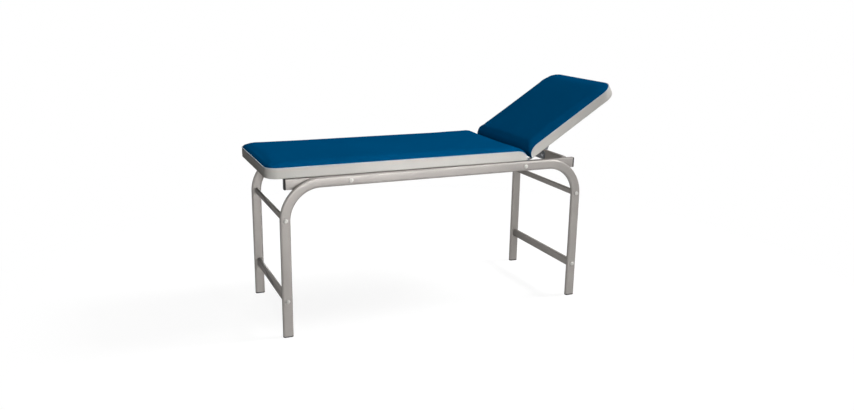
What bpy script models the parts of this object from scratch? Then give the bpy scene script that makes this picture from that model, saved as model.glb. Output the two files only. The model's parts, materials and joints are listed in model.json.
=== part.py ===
"""Examination table: bent tube side frames, a fixed seat pad and a head section raised on a prop."""

from math import atan2, cos, hypot, pi, radians, sin, sqrt

import bmesh
import bpy
from mathutils import Vector

# Fits
GAP = 0.0003  # left between pieces that touch
HOLE_CLEARANCE = 0.0003  # round a bolt or a pin, on the radius

# Side frames: one bent tube each, with its wide side in the plane of the frame
LEG_SPAN = 1.570  # outside to outside, along the table
FRAME_MARGIN = 0.018  # outside of the frame past the pads, on each side
TUBE_DEPTH = 0.048
TUBE_WIDTH = 0.025
TUBE_CORNER = 0.0105
TUBE_WALL = 0.0015
BEND_RADIUS = 0.169  # of the tube's centre line
RAIL_HEIGHT = 0.721  # centre line of the rail above the floor

# Foot caps
FOOT_THICKNESS = 0.005
FOOT_PLUG_LENGTH = 0.025

# Crossbars between the legs, flat-oval tubes that stand on edge
UPPER_BAR_HEIGHT = 0.558
UPPER_BAR_WIDTH = 0.015
UPPER_BAR_DEPTH = 0.030
LOWER_BAR_HEIGHT = 0.176
LOWER_BAR_WIDTH = 0.021
LOWER_BAR_DEPTH = 0.044
BAR_WALL = 0.0015
BAR_END_PLATE = 0.012

# Bolts and their caps
BOLT_DIAMETER = 0.008
BOLT_HEAD_DIAMETER = 0.014
BOLT_HEAD_HEIGHT = 0.004
BOLT_GRIP = 0.016  # past the wall that it clamps
CAP_WALL = 0.0025
CAP_CROWN = 0.0015
RAIL_BOLT_SPACING = 0.910

# Bed frame: rails inside the side frames, and crossbars between them that carry the pads
BED_TUBE_WIDTH = 0.025
BED_TUBE_DEPTH = 0.050
BED_TUBE_CORNER = 0.003
BED_TUBE_WALL = 0.0015
BED_DROP = 0.004  # centre line below that of the side frame's rail
BED_INSET = 0.028  # foot end, from the outside of the legs
RAIL_TAIL = 0.035  # rail past the end crossbars
PLUG_FLANGE = 0.0065
PLUG_LENGTH = 0.015
BED_BAR_WIDTH = 0.025
BED_BAR_DEPTH = 0.045
BED_BAR_RISE = 0.0047  # crossbars stand above the rails, to clear the hinge leaves
HINGE_BAR_SETBACK = 0.040  # hinge crossbar, from the end of the seat

# Pads
PAD_WIDTH = 0.600
PAD_HEIGHT = 0.046  # board and foam, up to the top of the side band
SEAT_CORNER = 0.060  # outer corners, seen from above
HEAD_CORNER = 0.085
PAD_NOSE = 0.055  # length of the round end at the hinge, seen from the side
PAD_NOSE_DROP = 0.040  # height of the round end
PAD_SHOULDER = 0.018  # round edge of the top
PAD_SHOULDER_SHARE = 0.9  # most of the foam's height that the round edge takes
PAD_CROWN = 0.002  # middle of the top above its edge
PAD_TOP_RISE = 0.018  # edge of the top above the side band
BOARD_THICKNESS = 0.015
BAND_THICKNESS = 0.003
BAND_DRAW = 0.001  # side band pulled in along its edges
SEAT_OVERHANG = 0.051  # foot end, past the outside of the legs
SEAT_LENGTH = 1.306
HEAD_LENGTH = 0.581

# Hinges, one strap hinge on each bed rail
HEAD_RAISE = radians(32.5)  # of the head section at rest
HEAD_RAISE_MOST = radians(50.0)
HINGE_SETBACK = 0.017  # axis from the end of the seat
HEAD_SETBACK = 0.0175  # head section from the axis
HINGE_RISE = 0.003  # axis above the undersides of the boards
LEAF_THICKNESS = 0.003
LEAF_LENGTH = 0.085
LEAF_MARGIN = 0.001  # each side of the rail
KNUCKLE_RADIUS = 0.006
KNUCKLE_SHARE = 0.24  # of the leaf's width, for each outer knuckle
KNUCKLE_SLACK = 0.0015  # between a knuckle and the other leaf
HINGE_PIN_DIAMETER = 0.006
HINGE_PIN_HEAD = 0.0095
HINGE_PIN_HEAD_HEIGHT = 0.0015

# Prop: its arm is as long as the distance from its pivot to the hinge, so it turns twice as far as the head
HEAD_BAR_REACH = 0.217  # head crossbar's centre from the hinge axis
PROP_PIVOT_REACH = 0.028  # pivot from the face of the head crossbar
PROP_PIVOT_DROP = 0.044  # pivot below the hinge axis
SLOT_TILT = radians(3.3)  # slot's slant from the head board, which lets it lie below the board
PROP_PIN_DIAMETER = 0.009
PROP_PIN_HEAD = 0.013
PROP_PIN_HEAD_HEIGHT = 0.002
ARM_WIDTH = 0.018
ARM_THICKNESS = 0.005
ARM_SPREAD = 0.016  # over the insides of its two flats
ARM_TIE_DEPTH = 0.010
ARM_TIE_PLACE = 0.45  # along the arm, from the pivot
BRACKET_PLATE = 0.003
BRACKET_WIDTH = 0.210
EAR_SLACK = 0.0006  # between an ear and the arm
CHANNEL_PLATE = 0.003
CHANNEL_SLACK = 0.004  # between the arm and the channel's sides
CHANNEL_LIP = 0.005  # metal round the slot
NOTCH_DEPTH = 0.0025
NOTCH_COUNT = 6

# Places worked out from the sizes above
FLOOR = 0.0
FRAME_WIDTH = PAD_WIDTH + 2 * FRAME_MARGIN
LEG_X = (LEG_SPAN - TUBE_DEPTH) / 2
SIDE_Y = (FRAME_WIDTH - TUBE_WIDTH) / 2
SIDE_INNER_Y = FRAME_WIDTH / 2 - TUBE_WIDTH
BED_RAIL_Y = SIDE_INNER_Y - GAP - BED_TUBE_WIDTH / 2
BED_INNER_Y = BED_RAIL_Y - BED_TUBE_WIDTH / 2
BED_HEIGHT = RAIL_HEIGHT - BED_DROP
BED_TOP = BED_HEIGHT + BED_TUBE_DEPTH / 2
BED_BAR_TOP = BED_TOP + BED_BAR_RISE
BOARD_Z = BED_BAR_TOP + GAP
SEAT_FOOT_X = -LEG_SPAN / 2 - SEAT_OVERHANG
SEAT_END_X = SEAT_FOOT_X + SEAT_LENGTH
HINGE_X = SEAT_END_X + HINGE_SETBACK
HINGE_Z = BOARD_Z + HINGE_RISE
HEAD_END = HEAD_SETBACK + HEAD_LENGTH
BED_FOOT_X = -LEG_SPAN / 2 + BED_INSET
FOOT_BAR_X = BED_FOOT_X + RAIL_TAIL + BED_BAR_WIDTH / 2
HINGE_BAR_X = SEAT_END_X - HINGE_BAR_SETBACK
HEAD_BAR_X = HINGE_X + HEAD_BAR_REACH
BED_HEAD_X = HEAD_BAR_X + BED_BAR_WIDTH / 2 + RAIL_TAIL
PIVOT_X = HEAD_BAR_X + BED_BAR_WIDTH / 2 + PROP_PIVOT_REACH
PIVOT_Z = HINGE_Z - PROP_PIVOT_DROP
ARM_LENGTH = hypot(PIVOT_X - HINGE_X, PROP_PIVOT_DROP)
PIVOT_ANGLE = atan2(PROP_PIVOT_DROP, PIVOT_X - HINGE_X)
ARM_OUTER_Y = ARM_SPREAD / 2 + ARM_THICKNESS
EAR_Y = ARM_OUTER_Y + EAR_SLACK
CHANNEL_Y = ARM_OUTER_Y + CHANNEL_SLACK
CAP_RADIUS = BOLT_HEAD_DIAMETER / 2 + GAP + CAP_WALL
BOLT_RADIUS = BOLT_DIAMETER / 2
HINGE_PIN_RADIUS = HINGE_PIN_DIAMETER / 2
PROP_PIN_RADIUS = PROP_PIN_DIAMETER / 2

# The origin lies on the floor, under the middle of the table's length at rest
HEAD_REACH = (HEAD_END - BAND_DRAW) * cos(HEAD_RAISE) + HINGE_RISE * sin(HEAD_RAISE)
MIDDLE_X = (SEAT_FOOT_X + HINGE_X + HEAD_REACH) / 2

SIDES = {"left": -1, "right": 1}
ENDS = {"foot": -1, "head": 1}
LEVELS = {"upper": UPPER_BAR_HEIGHT, "lower": LOWER_BAR_HEIGHT}
BAR_SECTIONS = {
    "upper": (UPPER_BAR_WIDTH, UPPER_BAR_DEPTH),
    "lower": (LOWER_BAR_WIDTH, LOWER_BAR_DEPTH),
}

# Facets
CORNER_STEPS = 3
BEND_STEPS = 8
ROUND_SIDES = 16
PIN_SIDES = 12
NOSE_STEPS = 6
PAD_CORNER_STEPS = 7
CROWN_STEPS = 6
SHOULDER_STEPS = 4
PAD_MIDDLE_STEPS = 6
SHARP_ANGLE = radians(35.0)


def clear_scene():
    for thing in list(bpy.data.objects):
        bpy.data.objects.remove(thing, do_unlink=True)


def finish(name, colour, roughness, metallic):
    material = bpy.data.materials.new(name)
    material.use_nodes = True
    shader = material.node_tree.nodes["Principled BSDF"]
    shader.inputs["Base Color"].default_value = (*colour, 1.0)
    shader.inputs["Roughness"].default_value = roughness
    shader.inputs["Metallic"].default_value = metallic
    return material


def make_finishes():
    return {
        "silver_paint": finish("silver_paint", (0.40, 0.38, 0.36), 0.38, 0.35),
        "black_plastic": finish("black_plastic", (0.02, 0.02, 0.02), 0.5, 0.0),
        "white_plastic": finish("white_plastic", (0.68, 0.67, 0.63), 0.4, 0.0),
        "zinc_steel": finish("zinc_steel", (0.55, 0.57, 0.60), 0.32, 0.9),
        "birch_ply": finish("birch_ply", (0.56, 0.40, 0.24), 0.65, 0.0),
        "blue_vinyl": finish("blue_vinyl", (0.0, 0.065, 0.19), 0.42, 0.0),
        "beige_vinyl": finish("beige_vinyl", (0.62, 0.58, 0.53), 0.5, 0.0),
    }


def empty(name, place, parent=None):
    helper = bpy.data.objects.new(name, None)
    bpy.context.scene.collection.objects.link(helper)
    helper.parent = parent
    helper.location = place
    return helper


def solid(name, rings, material, parent, loop=False):
    """One closed body skinned over rings of points. With loop, the last ring joins the first."""
    shape = bmesh.new()
    rows = [[shape.verts.new(point) for point in ring] for ring in rings]
    pairs = list(zip(rows, rows[1:]))
    if loop:
        pairs.append((rows[-1], rows[0]))
    else:
        shape.faces.new(rows[0])
        shape.faces.new(rows[-1])
    for first, second in pairs:
        for k in range(len(first)):
            after = (k + 1) % len(first)
            shape.faces.new((first[k], first[after], second[after], second[k]))
    bmesh.ops.recalc_face_normals(shape, faces=shape.faces)
    mesh = bpy.data.meshes.new(name)
    shape.to_mesh(mesh)
    shape.free()
    mesh.shade_smooth()
    mesh.set_sharp_from_angle(angle=SHARP_ANGLE)
    body = bpy.data.objects.new(name, mesh)
    bpy.context.scene.collection.objects.link(body)
    body.parent = parent
    if material:
        mesh.materials.append(material)
    return body


def rounded_outline(width, depth, corner, steps=CORNER_STEPS):
    """Rectangle with round corners about the origin, anticlockwise."""
    points = []
    for turn, (across, along) in enumerate(((1, 1), (-1, 1), (-1, -1), (1, -1))):
        for step in range(steps + 1):
            angle = (turn + step / steps) * pi / 2
            x = across * (width / 2 - corner) + corner * cos(angle)
            y = along * (depth / 2 - corner) + corner * sin(angle)
            points.append((x, y))
    return points


def circle(radius, sides):
    return [(radius * cos(2 * pi * k / sides), radius * sin(2 * pi * k / sides)) for k in range(sides)]


def turned(name, profile, x, z, outward, material, parent, sides=ROUND_SIDES):
    """Round piece about an axis along Y, from a profile of (radius, distance along Y)."""
    rings = []
    for radius, reach in profile:
        rings.append([(x + a, outward * reach, z + b) for a, b in circle(radius, sides)])
    return solid(name, rings, material, parent)


def prism(name, outline, low_y, high_y, material, parent):
    """Outline in X and Z, extruded along Y."""
    rings = [[(x, y, z) for x, z in outline] for y in (low_y, high_y)]
    return solid(name, rings, material, parent)


def helper_of(body):
    body.hide_render = True
    body.display_type = "WIRE"
    return body


def combine(body, other, operation):
    change = body.modifiers.new(other.name, "BOOLEAN")
    change.operation = operation
    change.object = helper_of(other)
    change.solver = "EXACT"


def drill(body, x, z, low_y, high_y, radius, parent):
    """Round hole along Y."""
    profile = ((radius, low_y), (radius, high_y))
    combine(body, turned(body.name + "_hole", profile, x, z, 1, None, parent, PIN_SIDES), "DIFFERENCE")


def rectangle(low_x, low_z, high_x, high_z):
    return [(low_x, low_z), (high_x, low_z), (high_x, high_z), (low_x, high_z)]


def bolt_places():
    """Name, X and Z of each bolt on a side frame."""
    places = []
    for end, along in ENDS.items():
        for level, height in LEVELS.items():
            places.append((f"{end}_{level}", along * LEG_X, height))
        places.append((f"{end}_rail", along * RAIL_BOLT_SPACING / 2, RAIL_HEIGHT))
    return places


def side_frame(side, out, finishes, parent):
    """Bent tube, open at both feet, drilled for its bolts."""
    stations = [(-LEG_X, FOOT_THICKNESS + GAP, pi)]
    for along, first in ((-1, pi), (1, pi / 2)):
        for step in range(BEND_STEPS + 1):
            angle = first - step / BEND_STEPS * pi / 2
            x = along * (LEG_X - BEND_RADIUS) + BEND_RADIUS * cos(angle)
            stations.append((x, RAIL_HEIGHT - BEND_RADIUS + BEND_RADIUS * sin(angle), angle))
    stations.append((LEG_X, FOOT_THICKNESS + GAP, 0.0))

    def rings(outline, order):
        return [
            [(x + a * cos(angle), out * SIDE_Y + b, z + a * sin(angle)) for a, b in outline]
            for x, z, angle in order
        ]

    outer = rounded_outline(TUBE_DEPTH, TUBE_WIDTH, TUBE_CORNER)
    inner = rounded_outline(
        TUBE_DEPTH - 2 * TUBE_WALL, TUBE_WIDTH - 2 * TUBE_WALL, TUBE_CORNER - TUBE_WALL
    )
    skins = rings(outer, stations) + rings(inner, stations[::-1])
    body = solid(f"side_frame_{side}", skins, finishes["silver_paint"], parent, loop=True)
    low_y = out * SIDE_Y - TUBE_WIDTH
    for _, x, z in bolt_places():
        drill(body, x, z, low_y, low_y + 2 * TUBE_WIDTH, BOLT_RADIUS + HOLE_CLEARANCE, parent)


def foot_cap(end, along, side, out, finishes, parent):
    """Flange under the leg, with a plug that fits the tube."""
    plug_inset = TUBE_WALL + GAP
    flange = rounded_outline(TUBE_DEPTH, TUBE_WIDTH, TUBE_CORNER)
    plug = rounded_outline(
        TUBE_DEPTH - 2 * plug_inset, TUBE_WIDTH - 2 * plug_inset, TUBE_CORNER - plug_inset
    )
    levels = (
        (flange, FLOOR),
        (flange, FOOT_THICKNESS),
        (plug, FOOT_THICKNESS),
        (plug, FOOT_THICKNESS + FOOT_PLUG_LENGTH),
    )
    rings = [
        [(along * LEG_X + a, out * SIDE_Y + b, z) for a, b in outline] for outline, z in levels
    ]
    solid(f"foot_cap_{end}_{side}", rings, finishes["black_plastic"], parent)


def crossbar(end, along, level, height, finishes, parent):
    """Flat-oval tube with a tapped plate in each end."""
    width, depth = BAR_SECTIONS[level]
    corner = width / 2 - GAP

    def rings(outline, half):
        return [[(along * LEG_X + a, y, height + b) for a, b in outline] for y in (-half, half)]

    half = SIDE_INNER_Y - GAP
    outline = rounded_outline(width, depth, corner)
    body = solid(f"{end}_{level}_bar", rings(outline, half), finishes["silver_paint"], parent)
    hollow = rounded_outline(width - 2 * BAR_WALL, depth - 2 * BAR_WALL, corner - BAR_WALL)
    core = solid(body.name + "_core", rings(hollow, half - BAR_END_PLATE), None, parent)
    combine(body, core, "DIFFERENCE")
    drill(body, along * LEG_X, height, -FRAME_WIDTH, FRAME_WIDTH, BOLT_RADIUS + HOLE_CLEARANCE, parent)


def bolt_and_cap(place, x, z, side, out, finishes, parent):
    """Pan-head bolt from outside, and the cap that hides its head."""
    face = FRAME_WIDTH / 2
    clamped = SIDE_INNER_Y - GAP
    tip = (BED_INNER_Y if place.endswith("rail") else clamped) - BOLT_GRIP
    head_top = face + GAP + BOLT_HEAD_HEIGHT
    head = BOLT_HEAD_DIAMETER / 2
    shank = (
        (head, head_top),
        (head, face + GAP),
        (BOLT_RADIUS, face + GAP),
        (BOLT_RADIUS, tip),
    )
    turned(f"bolt_{place}_{side}", shank, x, z, out, finishes["zinc_steel"], parent, PIN_SIDES)
    inside = head + GAP
    roof = head_top + GAP
    top = roof + CAP_WALL
    cup = (
        (inside, roof),
        (inside, face + GAP),
        (CAP_RADIUS, face + GAP),
        (CAP_RADIUS, top - CAP_CROWN),
        (CAP_RADIUS - CAP_CROWN, top - CAP_CROWN / 4),
        (CAP_RADIUS / 2, top),
    )
    turned(f"bolt_cap_{place}_{side}", cup, x, z, out, finishes["white_plastic"], parent)


def box_tube(name, width, depth, ends, at, finishes, parent):
    """Rectangular tube, open at both ends. The function at gives a point from (across, up, along)."""
    outer = rounded_outline(width, depth, BED_TUBE_CORNER, 2)
    inner = rounded_outline(
        width - 2 * BED_TUBE_WALL, depth - 2 * BED_TUBE_WALL, BED_TUBE_CORNER - BED_TUBE_WALL, 2
    )
    order = [(outer, ends[0]), (outer, ends[1]), (inner, ends[1]), (inner, ends[0])]
    rings = [[at(a, b, along) for a, b in outline] for outline, along in order]
    return solid(name, rings, finishes["silver_paint"], parent, loop=True)


def bed_rail(side, out, finishes, parent):
    def at(a, b, along):
        return (along, out * BED_RAIL_Y + a, BED_HEIGHT + b)

    ends = (BED_FOOT_X + PLUG_FLANGE + GAP, BED_HEAD_X - PLUG_FLANGE - GAP)
    body = box_tube(f"bed_rail_{side}", BED_TUBE_WIDTH, BED_TUBE_DEPTH, ends, at, finishes, parent)
    low_y = out * BED_RAIL_Y - BED_TUBE_WIDTH
    for place, x, z in bolt_places():
        if place.endswith("rail"):
            drill(body, x, z, low_y, low_y + 2 * BED_TUBE_WIDTH, BOLT_RADIUS + HOLE_CLEARANCE, parent)


def rail_plug(end, along, side, out, finishes, parent):
    """Black plug in the end of a bed rail."""
    tip = BED_HEAD_X if along > 0 else BED_FOOT_X
    inset = BED_TUBE_WALL + GAP
    flange = rounded_outline(BED_TUBE_WIDTH, BED_TUBE_DEPTH, BED_TUBE_CORNER, 2)
    plug = rounded_outline(
        BED_TUBE_WIDTH - 2 * inset, BED_TUBE_DEPTH - 2 * inset, BED_TUBE_CORNER - inset, 2
    )
    steps = (
        (flange, 0.0),
        (flange, PLUG_FLANGE),
        (plug, PLUG_FLANGE),
        (plug, PLUG_FLANGE + PLUG_LENGTH),
    )
    rings = [
        [(tip - along * inward, out * BED_RAIL_Y + a, BED_HEIGHT + b) for a, b in outline]
        for outline, inward in steps
    ]
    solid(f"rail_plug_{end}_{side}", rings, finishes["black_plastic"], parent)


def bed_crossbar(name, x, finishes, parent):
    def at(a, b, along):
        return (x + a, along, BED_BAR_TOP - BED_BAR_DEPTH / 2 + b)

    half = BED_INNER_Y - GAP
    box_tube(name, BED_BAR_WIDTH, BED_BAR_DEPTH, (-half, half), at, finishes, parent)


def pad_plan(length, radius, inset):
    """Half outline of a pad from its hinge end to its outer end: (distance, half width, outward angle)."""
    corner = radius - inset
    plan = [(0.0, PAD_WIDTH / 2 - inset, pi / 2)]
    for step in range(PAD_CORNER_STEPS + 1):
        angle = pi / 2 * (1 - step / PAD_CORNER_STEPS)
        along = length - inset - corner + corner * cos(angle)
        plan.append((along, PAD_WIDTH / 2 - inset - corner + corner * sin(angle), angle))
    return plan


def nose_steps(height):
    """Distance from the hinge end and height of the pad's side, round the nose."""
    steps = []
    for step in range(NOSE_STEPS + 1):
        angle = pi / 2 * step / NOSE_STEPS
        steps.append((PAD_NOSE * (1 - cos(angle)), height - PAD_NOSE_DROP * (1 - sin(angle))))
    return steps


def pad_board(name, length, radius, at, finishes, parent):
    inset = BAND_THICKNESS + GAP
    half = pad_plan(length, radius, inset)
    outline = [(d, -w) for d, w, _ in half] + [(d, w) for d, w, _ in half[::-1]]
    outline = [(max(d, GAP), w) for d, w in outline]
    rings = [[at(d, w, h) for d, w in outline] for h in (0.0, BOARD_THICKNESS)]
    solid(f"{name}_board", rings, finishes["birch_ply"], parent)


def cushion_section(half, height, crown):
    """Ring across a cushion: flat below, round shoulders, crowned on top."""
    low = BOARD_THICKNESS + GAP
    points = [(-half, low), (half, low)]
    radius = min(PAD_SHOULDER, (height - low) * PAD_SHOULDER_SHARE)
    shoulder = []
    for step in range(SHOULDER_STEPS + 1):
        angle = pi / 2 * step / SHOULDER_STEPS
        shoulder.append((half - radius * (1 - cos(angle)), height - radius * (1 - sin(angle))))
    flat = shoulder[-1][0]
    top = []
    for step in range(1, CROWN_STEPS):
        across = flat * (1 - 2 * step / CROWN_STEPS)
        top.append((across, height + crown * (1 - (across / flat) ** 2)))
    points += shoulder + top + [(-y, h) for y, h in shoulder[::-1]]
    return points


def pad_cushion(name, length, radius, at, finishes, parent):
    """Foam in its cover, with a round nose at the hinge, a crown, and a soft edge at the outer end."""
    inset = BAND_THICKNESS + GAP
    top = PAD_HEIGHT + PAD_TOP_RISE
    end = length - inset
    stations = [(d, PAD_WIDTH / 2 - inset, h) for d, h in nose_steps(top)]
    straight = end - radius + inset - PAD_NOSE
    for step in range(1, PAD_MIDDLE_STEPS):
        stations.append((PAD_NOSE + straight * step / PAD_MIDDLE_STEPS, PAD_WIDTH / 2 - inset, top))
    for d, half, _ in pad_plan(length, radius, inset)[1:]:
        into = min(end - d, PAD_SHOULDER)
        edge = top - PAD_SHOULDER + sqrt(PAD_SHOULDER**2 - (PAD_SHOULDER - into) ** 2)
        stations.append((d, half, edge))
    rings = []
    for d, half, height in stations:
        crown = PAD_CROWN * (1 - abs(2 * d / end - 1) ** 4)
        rings.append([at(d, y, h) for y, h in cushion_section(half, height, crown)])
    solid(f"{name}_cushion", rings, finishes["blue_vinyl"], parent)


def pad_band(name, length, radius, at, finishes, parent):
    """Strip along both sides and round the outer end, cut round at the nose."""
    half = pad_plan(length, radius, 0.0)
    path = [(d, PAD_WIDTH / 2, pi / 2, h) for d, h in nose_steps(PAD_HEIGHT)]
    path += [(d, w, angle, PAD_HEIGHT) for d, w, angle in half[1:]]
    both = [(d, -w, -angle, h) for d, w, angle, h in path]
    both += [(d, w, angle, h) for d, w, angle, h in path[::-1]]
    rings = []
    for d, y, angle, height in both:
        section = (
            (-BAND_DRAW, 0.0),
            (0.0, height / 3),
            (0.0, height * 2 / 3),
            (-BAND_DRAW, height),
            (-BAND_THICKNESS, height),
            (-BAND_THICKNESS, 0.0),
        )
        rings.append([at(d + out * cos(angle), y + out * sin(angle), h) for out, h in section])
    solid(f"{name}_band", rings, finishes["beige_vinyl"], parent)


def knuckle_outline(x, z, root_x, low, high):
    """Knuckle about (x, z), run into a leaf whose edge at root_x goes from low to high."""
    towards = 1 if root_x > x else -1
    points = []
    for step in range(ROUND_SIDES // 2 + 1):
        angle = -pi / 2 + pi * step / (ROUND_SIDES // 2)
        points.append((x - towards * KNUCKLE_RADIUS * cos(angle), z + KNUCKLE_RADIUS * sin(angle)))
    return points + [(root_x, high), (root_x, low)]


def hinge(side, out, finishes, frame, head):
    """Strap hinge on a bed rail: leaf on the rail, leaf under the head board, and the pin."""
    width = BED_TUBE_WIDTH - 2 * LEAF_MARGIN
    low_y = out * BED_RAIL_Y - width / 2
    outer = width * KNUCKLE_SHARE
    clear = KNUCKLE_RADIUS + KNUCKLE_SLACK
    zinc = finishes["zinc_steel"]
    bore = HINGE_PIN_RADIUS + HOLE_CLEARANCE

    low = BED_TOP + GAP
    high = low + LEAF_THICKNESS
    plate = rectangle(HINGE_X - LEAF_LENGTH, low, HINGE_X - clear, high)
    fixed = prism(f"hinge_fixed_leaf_{side}", plate, low_y, low_y + width, zinc, frame)
    finger = knuckle_outline(HINGE_X, HINGE_Z, HINGE_X - clear - LEAF_THICKNESS, low, high)
    for start in (low_y, low_y + width - outer):
        knuckle = prism(fixed.name + "_knuckle", finger, start, start + outer, None, frame)
        combine(fixed, knuckle, "UNION")
    drill(fixed, HINGE_X, HINGE_Z, low_y - width, low_y + 2 * width, bore, frame)

    high = -HINGE_RISE - GAP
    low = high - LEAF_THICKNESS
    plate = rectangle(clear, low, LEAF_LENGTH, high)
    moving = prism(f"hinge_moving_leaf_{side}", plate, low_y, low_y + width, zinc, head)
    finger = knuckle_outline(0.0, 0.0, clear + LEAF_THICKNESS, low, high)
    start = low_y + outer + GAP
    knuckle = prism(moving.name + "_knuckle", finger, start, low_y + width - outer - GAP, None, head)
    combine(moving, knuckle, "UNION")
    drill(moving, 0.0, 0.0, low_y - width, low_y + 2 * width, bore, head)

    inner_y = out * low_y if out > 0 else -(low_y + width)
    profile = (
        (HINGE_PIN_HEAD / 2, inner_y - GAP - HINGE_PIN_HEAD_HEIGHT),
        (HINGE_PIN_HEAD / 2, inner_y - GAP),
        (HINGE_PIN_RADIUS, inner_y - GAP),
        (HINGE_PIN_RADIUS, inner_y + width),
    )
    turned(f"hinge_pin_{side}", profile, HINGE_X, HINGE_Z, out, zinc, frame, PIN_SIDES)


def prop_bracket(finishes, parent):
    """Saddle round the head crossbar from below, with two ears that hold the prop's pivot."""
    half_bar = BED_BAR_WIDTH / 2 + GAP
    bar_low = BED_BAR_TOP - BED_BAR_DEPTH - GAP
    top = BED_BAR_TOP - BRACKET_PLATE
    inside = (HEAD_BAR_X - half_bar, HEAD_BAR_X + half_bar)
    outside = (inside[0] - BRACKET_PLATE, inside[1] + BRACKET_PLATE)
    saddle = [
        (outside[0], top),
        (outside[0], bar_low - BRACKET_PLATE),
        (outside[1], bar_low - BRACKET_PLATE),
        (outside[1], top),
        (inside[1], top),
        (inside[1], bar_low),
        (inside[0], bar_low),
        (inside[0], top),
    ]
    half = BRACKET_WIDTH / 2
    body = prism("prop_bracket", saddle, -half, half, finishes["zinc_steel"], parent)
    radius = ARM_WIDTH / 2 + GAP
    ear = [(inside[1] + GAP, PIVOT_Z - radius)]
    for step in range(ROUND_SIDES // 2 + 1):
        angle = -pi / 2 + pi * step / (ROUND_SIDES // 2)
        ear.append((PIVOT_X + radius * cos(angle), PIVOT_Z + radius * sin(angle)))
    ear.append((inside[1] + GAP, PIVOT_Z + radius))
    for out in SIDES.values():
        low_y, high_y = sorted((out * EAR_Y, out * (EAR_Y + BRACKET_PLATE)))
        combine(body, prism("prop_bracket_ear", ear, low_y, high_y, None, parent), "UNION")
    drill(body, PIVOT_X, PIVOT_Z, -half, half, PROP_PIN_RADIUS + HOLE_CLEARANCE, parent)


def prop_pin(name, x, half_y, material, parent):
    """Headed pin across the prop."""
    head = PROP_PIN_HEAD / 2
    profile = (
        (head, -half_y - PROP_PIN_HEAD_HEIGHT),
        (head, -half_y),
        (PROP_PIN_RADIUS, -half_y),
        (PROP_PIN_RADIUS, half_y),
        (head, half_y),
        (head, half_y + PROP_PIN_HEAD_HEIGHT),
    )
    turned(name, profile, x, 0.0, 1, material, parent, PIN_SIDES)


def prop_arm(finishes, arm):
    """Two flats joined by a tie, with the pins at both ends. Made along X from the pivot."""
    half = ARM_WIDTH / 2
    flat = []
    for centre, first in ((ARM_LENGTH, -pi / 2), (0.0, pi / 2)):
        for step in range(ROUND_SIDES // 2 + 1):
            angle = first + pi * step / (ROUND_SIDES // 2)
            flat.append((centre + half * cos(angle), half * sin(angle)))
    zinc = finishes["zinc_steel"]
    inner = ARM_SPREAD / 2
    body = prism("prop_arm", flat, -ARM_OUTER_Y, -inner, zinc, arm)
    other = prism("prop_arm_flat", flat, inner, ARM_OUTER_Y, None, arm)
    centre = ARM_LENGTH * ARM_TIE_PLACE
    tie_outline = rectangle(
        centre - ARM_TIE_DEPTH, -ARM_TIE_DEPTH / 2, centre + ARM_TIE_DEPTH, ARM_TIE_DEPTH / 2
    )
    reach = inner + ARM_THICKNESS / 2
    combine(body, prism("prop_arm_tie", tie_outline, -reach, reach, None, arm), "UNION")
    combine(body, other, "UNION")
    for x in (0.0, ARM_LENGTH):
        drill(body, x, 0.0, -FRAME_WIDTH / 2, FRAME_WIDTH / 2, PROP_PIN_RADIUS + HOLE_CLEARANCE, arm)
    prop_pin("prop_pivot_pin", 0.0, EAR_Y + BRACKET_PLATE + GAP, zinc, arm)
    prop_pin("prop_cross_pin", ARM_LENGTH, CHANNEL_Y + CHANNEL_PLATE + GAP, zinc, arm)


def slot_place(raise_angle):
    """Distance of the cross pin from the hinge, along the slot."""
    return 2 * ARM_LENGTH * cos(raise_angle - SLOT_TILT + PIVOT_ANGLE)


def on_slot(distance, rise):
    """X and Z in the head section's frame, from a distance along the slot and a rise above it."""
    x = distance * cos(SLOT_TILT) + rise * sin(SLOT_TILT)
    return (x, rise * cos(SLOT_TILT) - distance * sin(SLOT_TILT))


def guide_channel(finishes, head):
    """Channel under the head board, slotted for the cross pin, with notches that hold it."""
    wide = PROP_PIN_RADIUS + 2 * HOLE_CLEARANCE
    near, far = slot_place(HEAD_RAISE_MOST), slot_place(0.0)
    lip = wide + CHANNEL_LIP
    under = -HINGE_RISE - GAP
    start, _ = on_slot(near - lip, 0.0)
    end, _ = on_slot(far + lip, 0.0)
    side_outline = [on_slot(near - lip, -lip), on_slot(far + lip, -lip), (end, under), (start, under)]
    zinc = finishes["zinc_steel"]
    web = rectangle(start, under - CHANNEL_PLATE, end, under)
    outer = CHANNEL_Y + CHANNEL_PLATE
    body = prism("guide_channel", web, -outer, outer, zinc, head)
    for out in SIDES.values():
        low_y, high_y = sorted((out * CHANNEL_Y, out * outer))
        combine(body, prism("guide_channel_side", side_outline, low_y, high_y, None, head), "UNION")
    slot = []
    for centre, first in ((far, -pi / 2), (near, pi / 2)):
        for step in range(ROUND_SIDES // 2 + 1):
            angle = first + pi * step / (ROUND_SIDES // 2)
            slot.append(on_slot(centre + wide * cos(angle), wide * sin(angle)))
    reach = BRACKET_WIDTH
    combine(body, prism("guide_channel_slot", slot, -reach, reach, None, head), "DIFFERENCE")
    for step in range(NOTCH_COUNT):
        place = slot_place(HEAD_RAISE_MOST * step / (NOTCH_COUNT - 1))
        drill(body, *on_slot(place, NOTCH_DEPTH), -reach, reach, wide, head)


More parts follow.
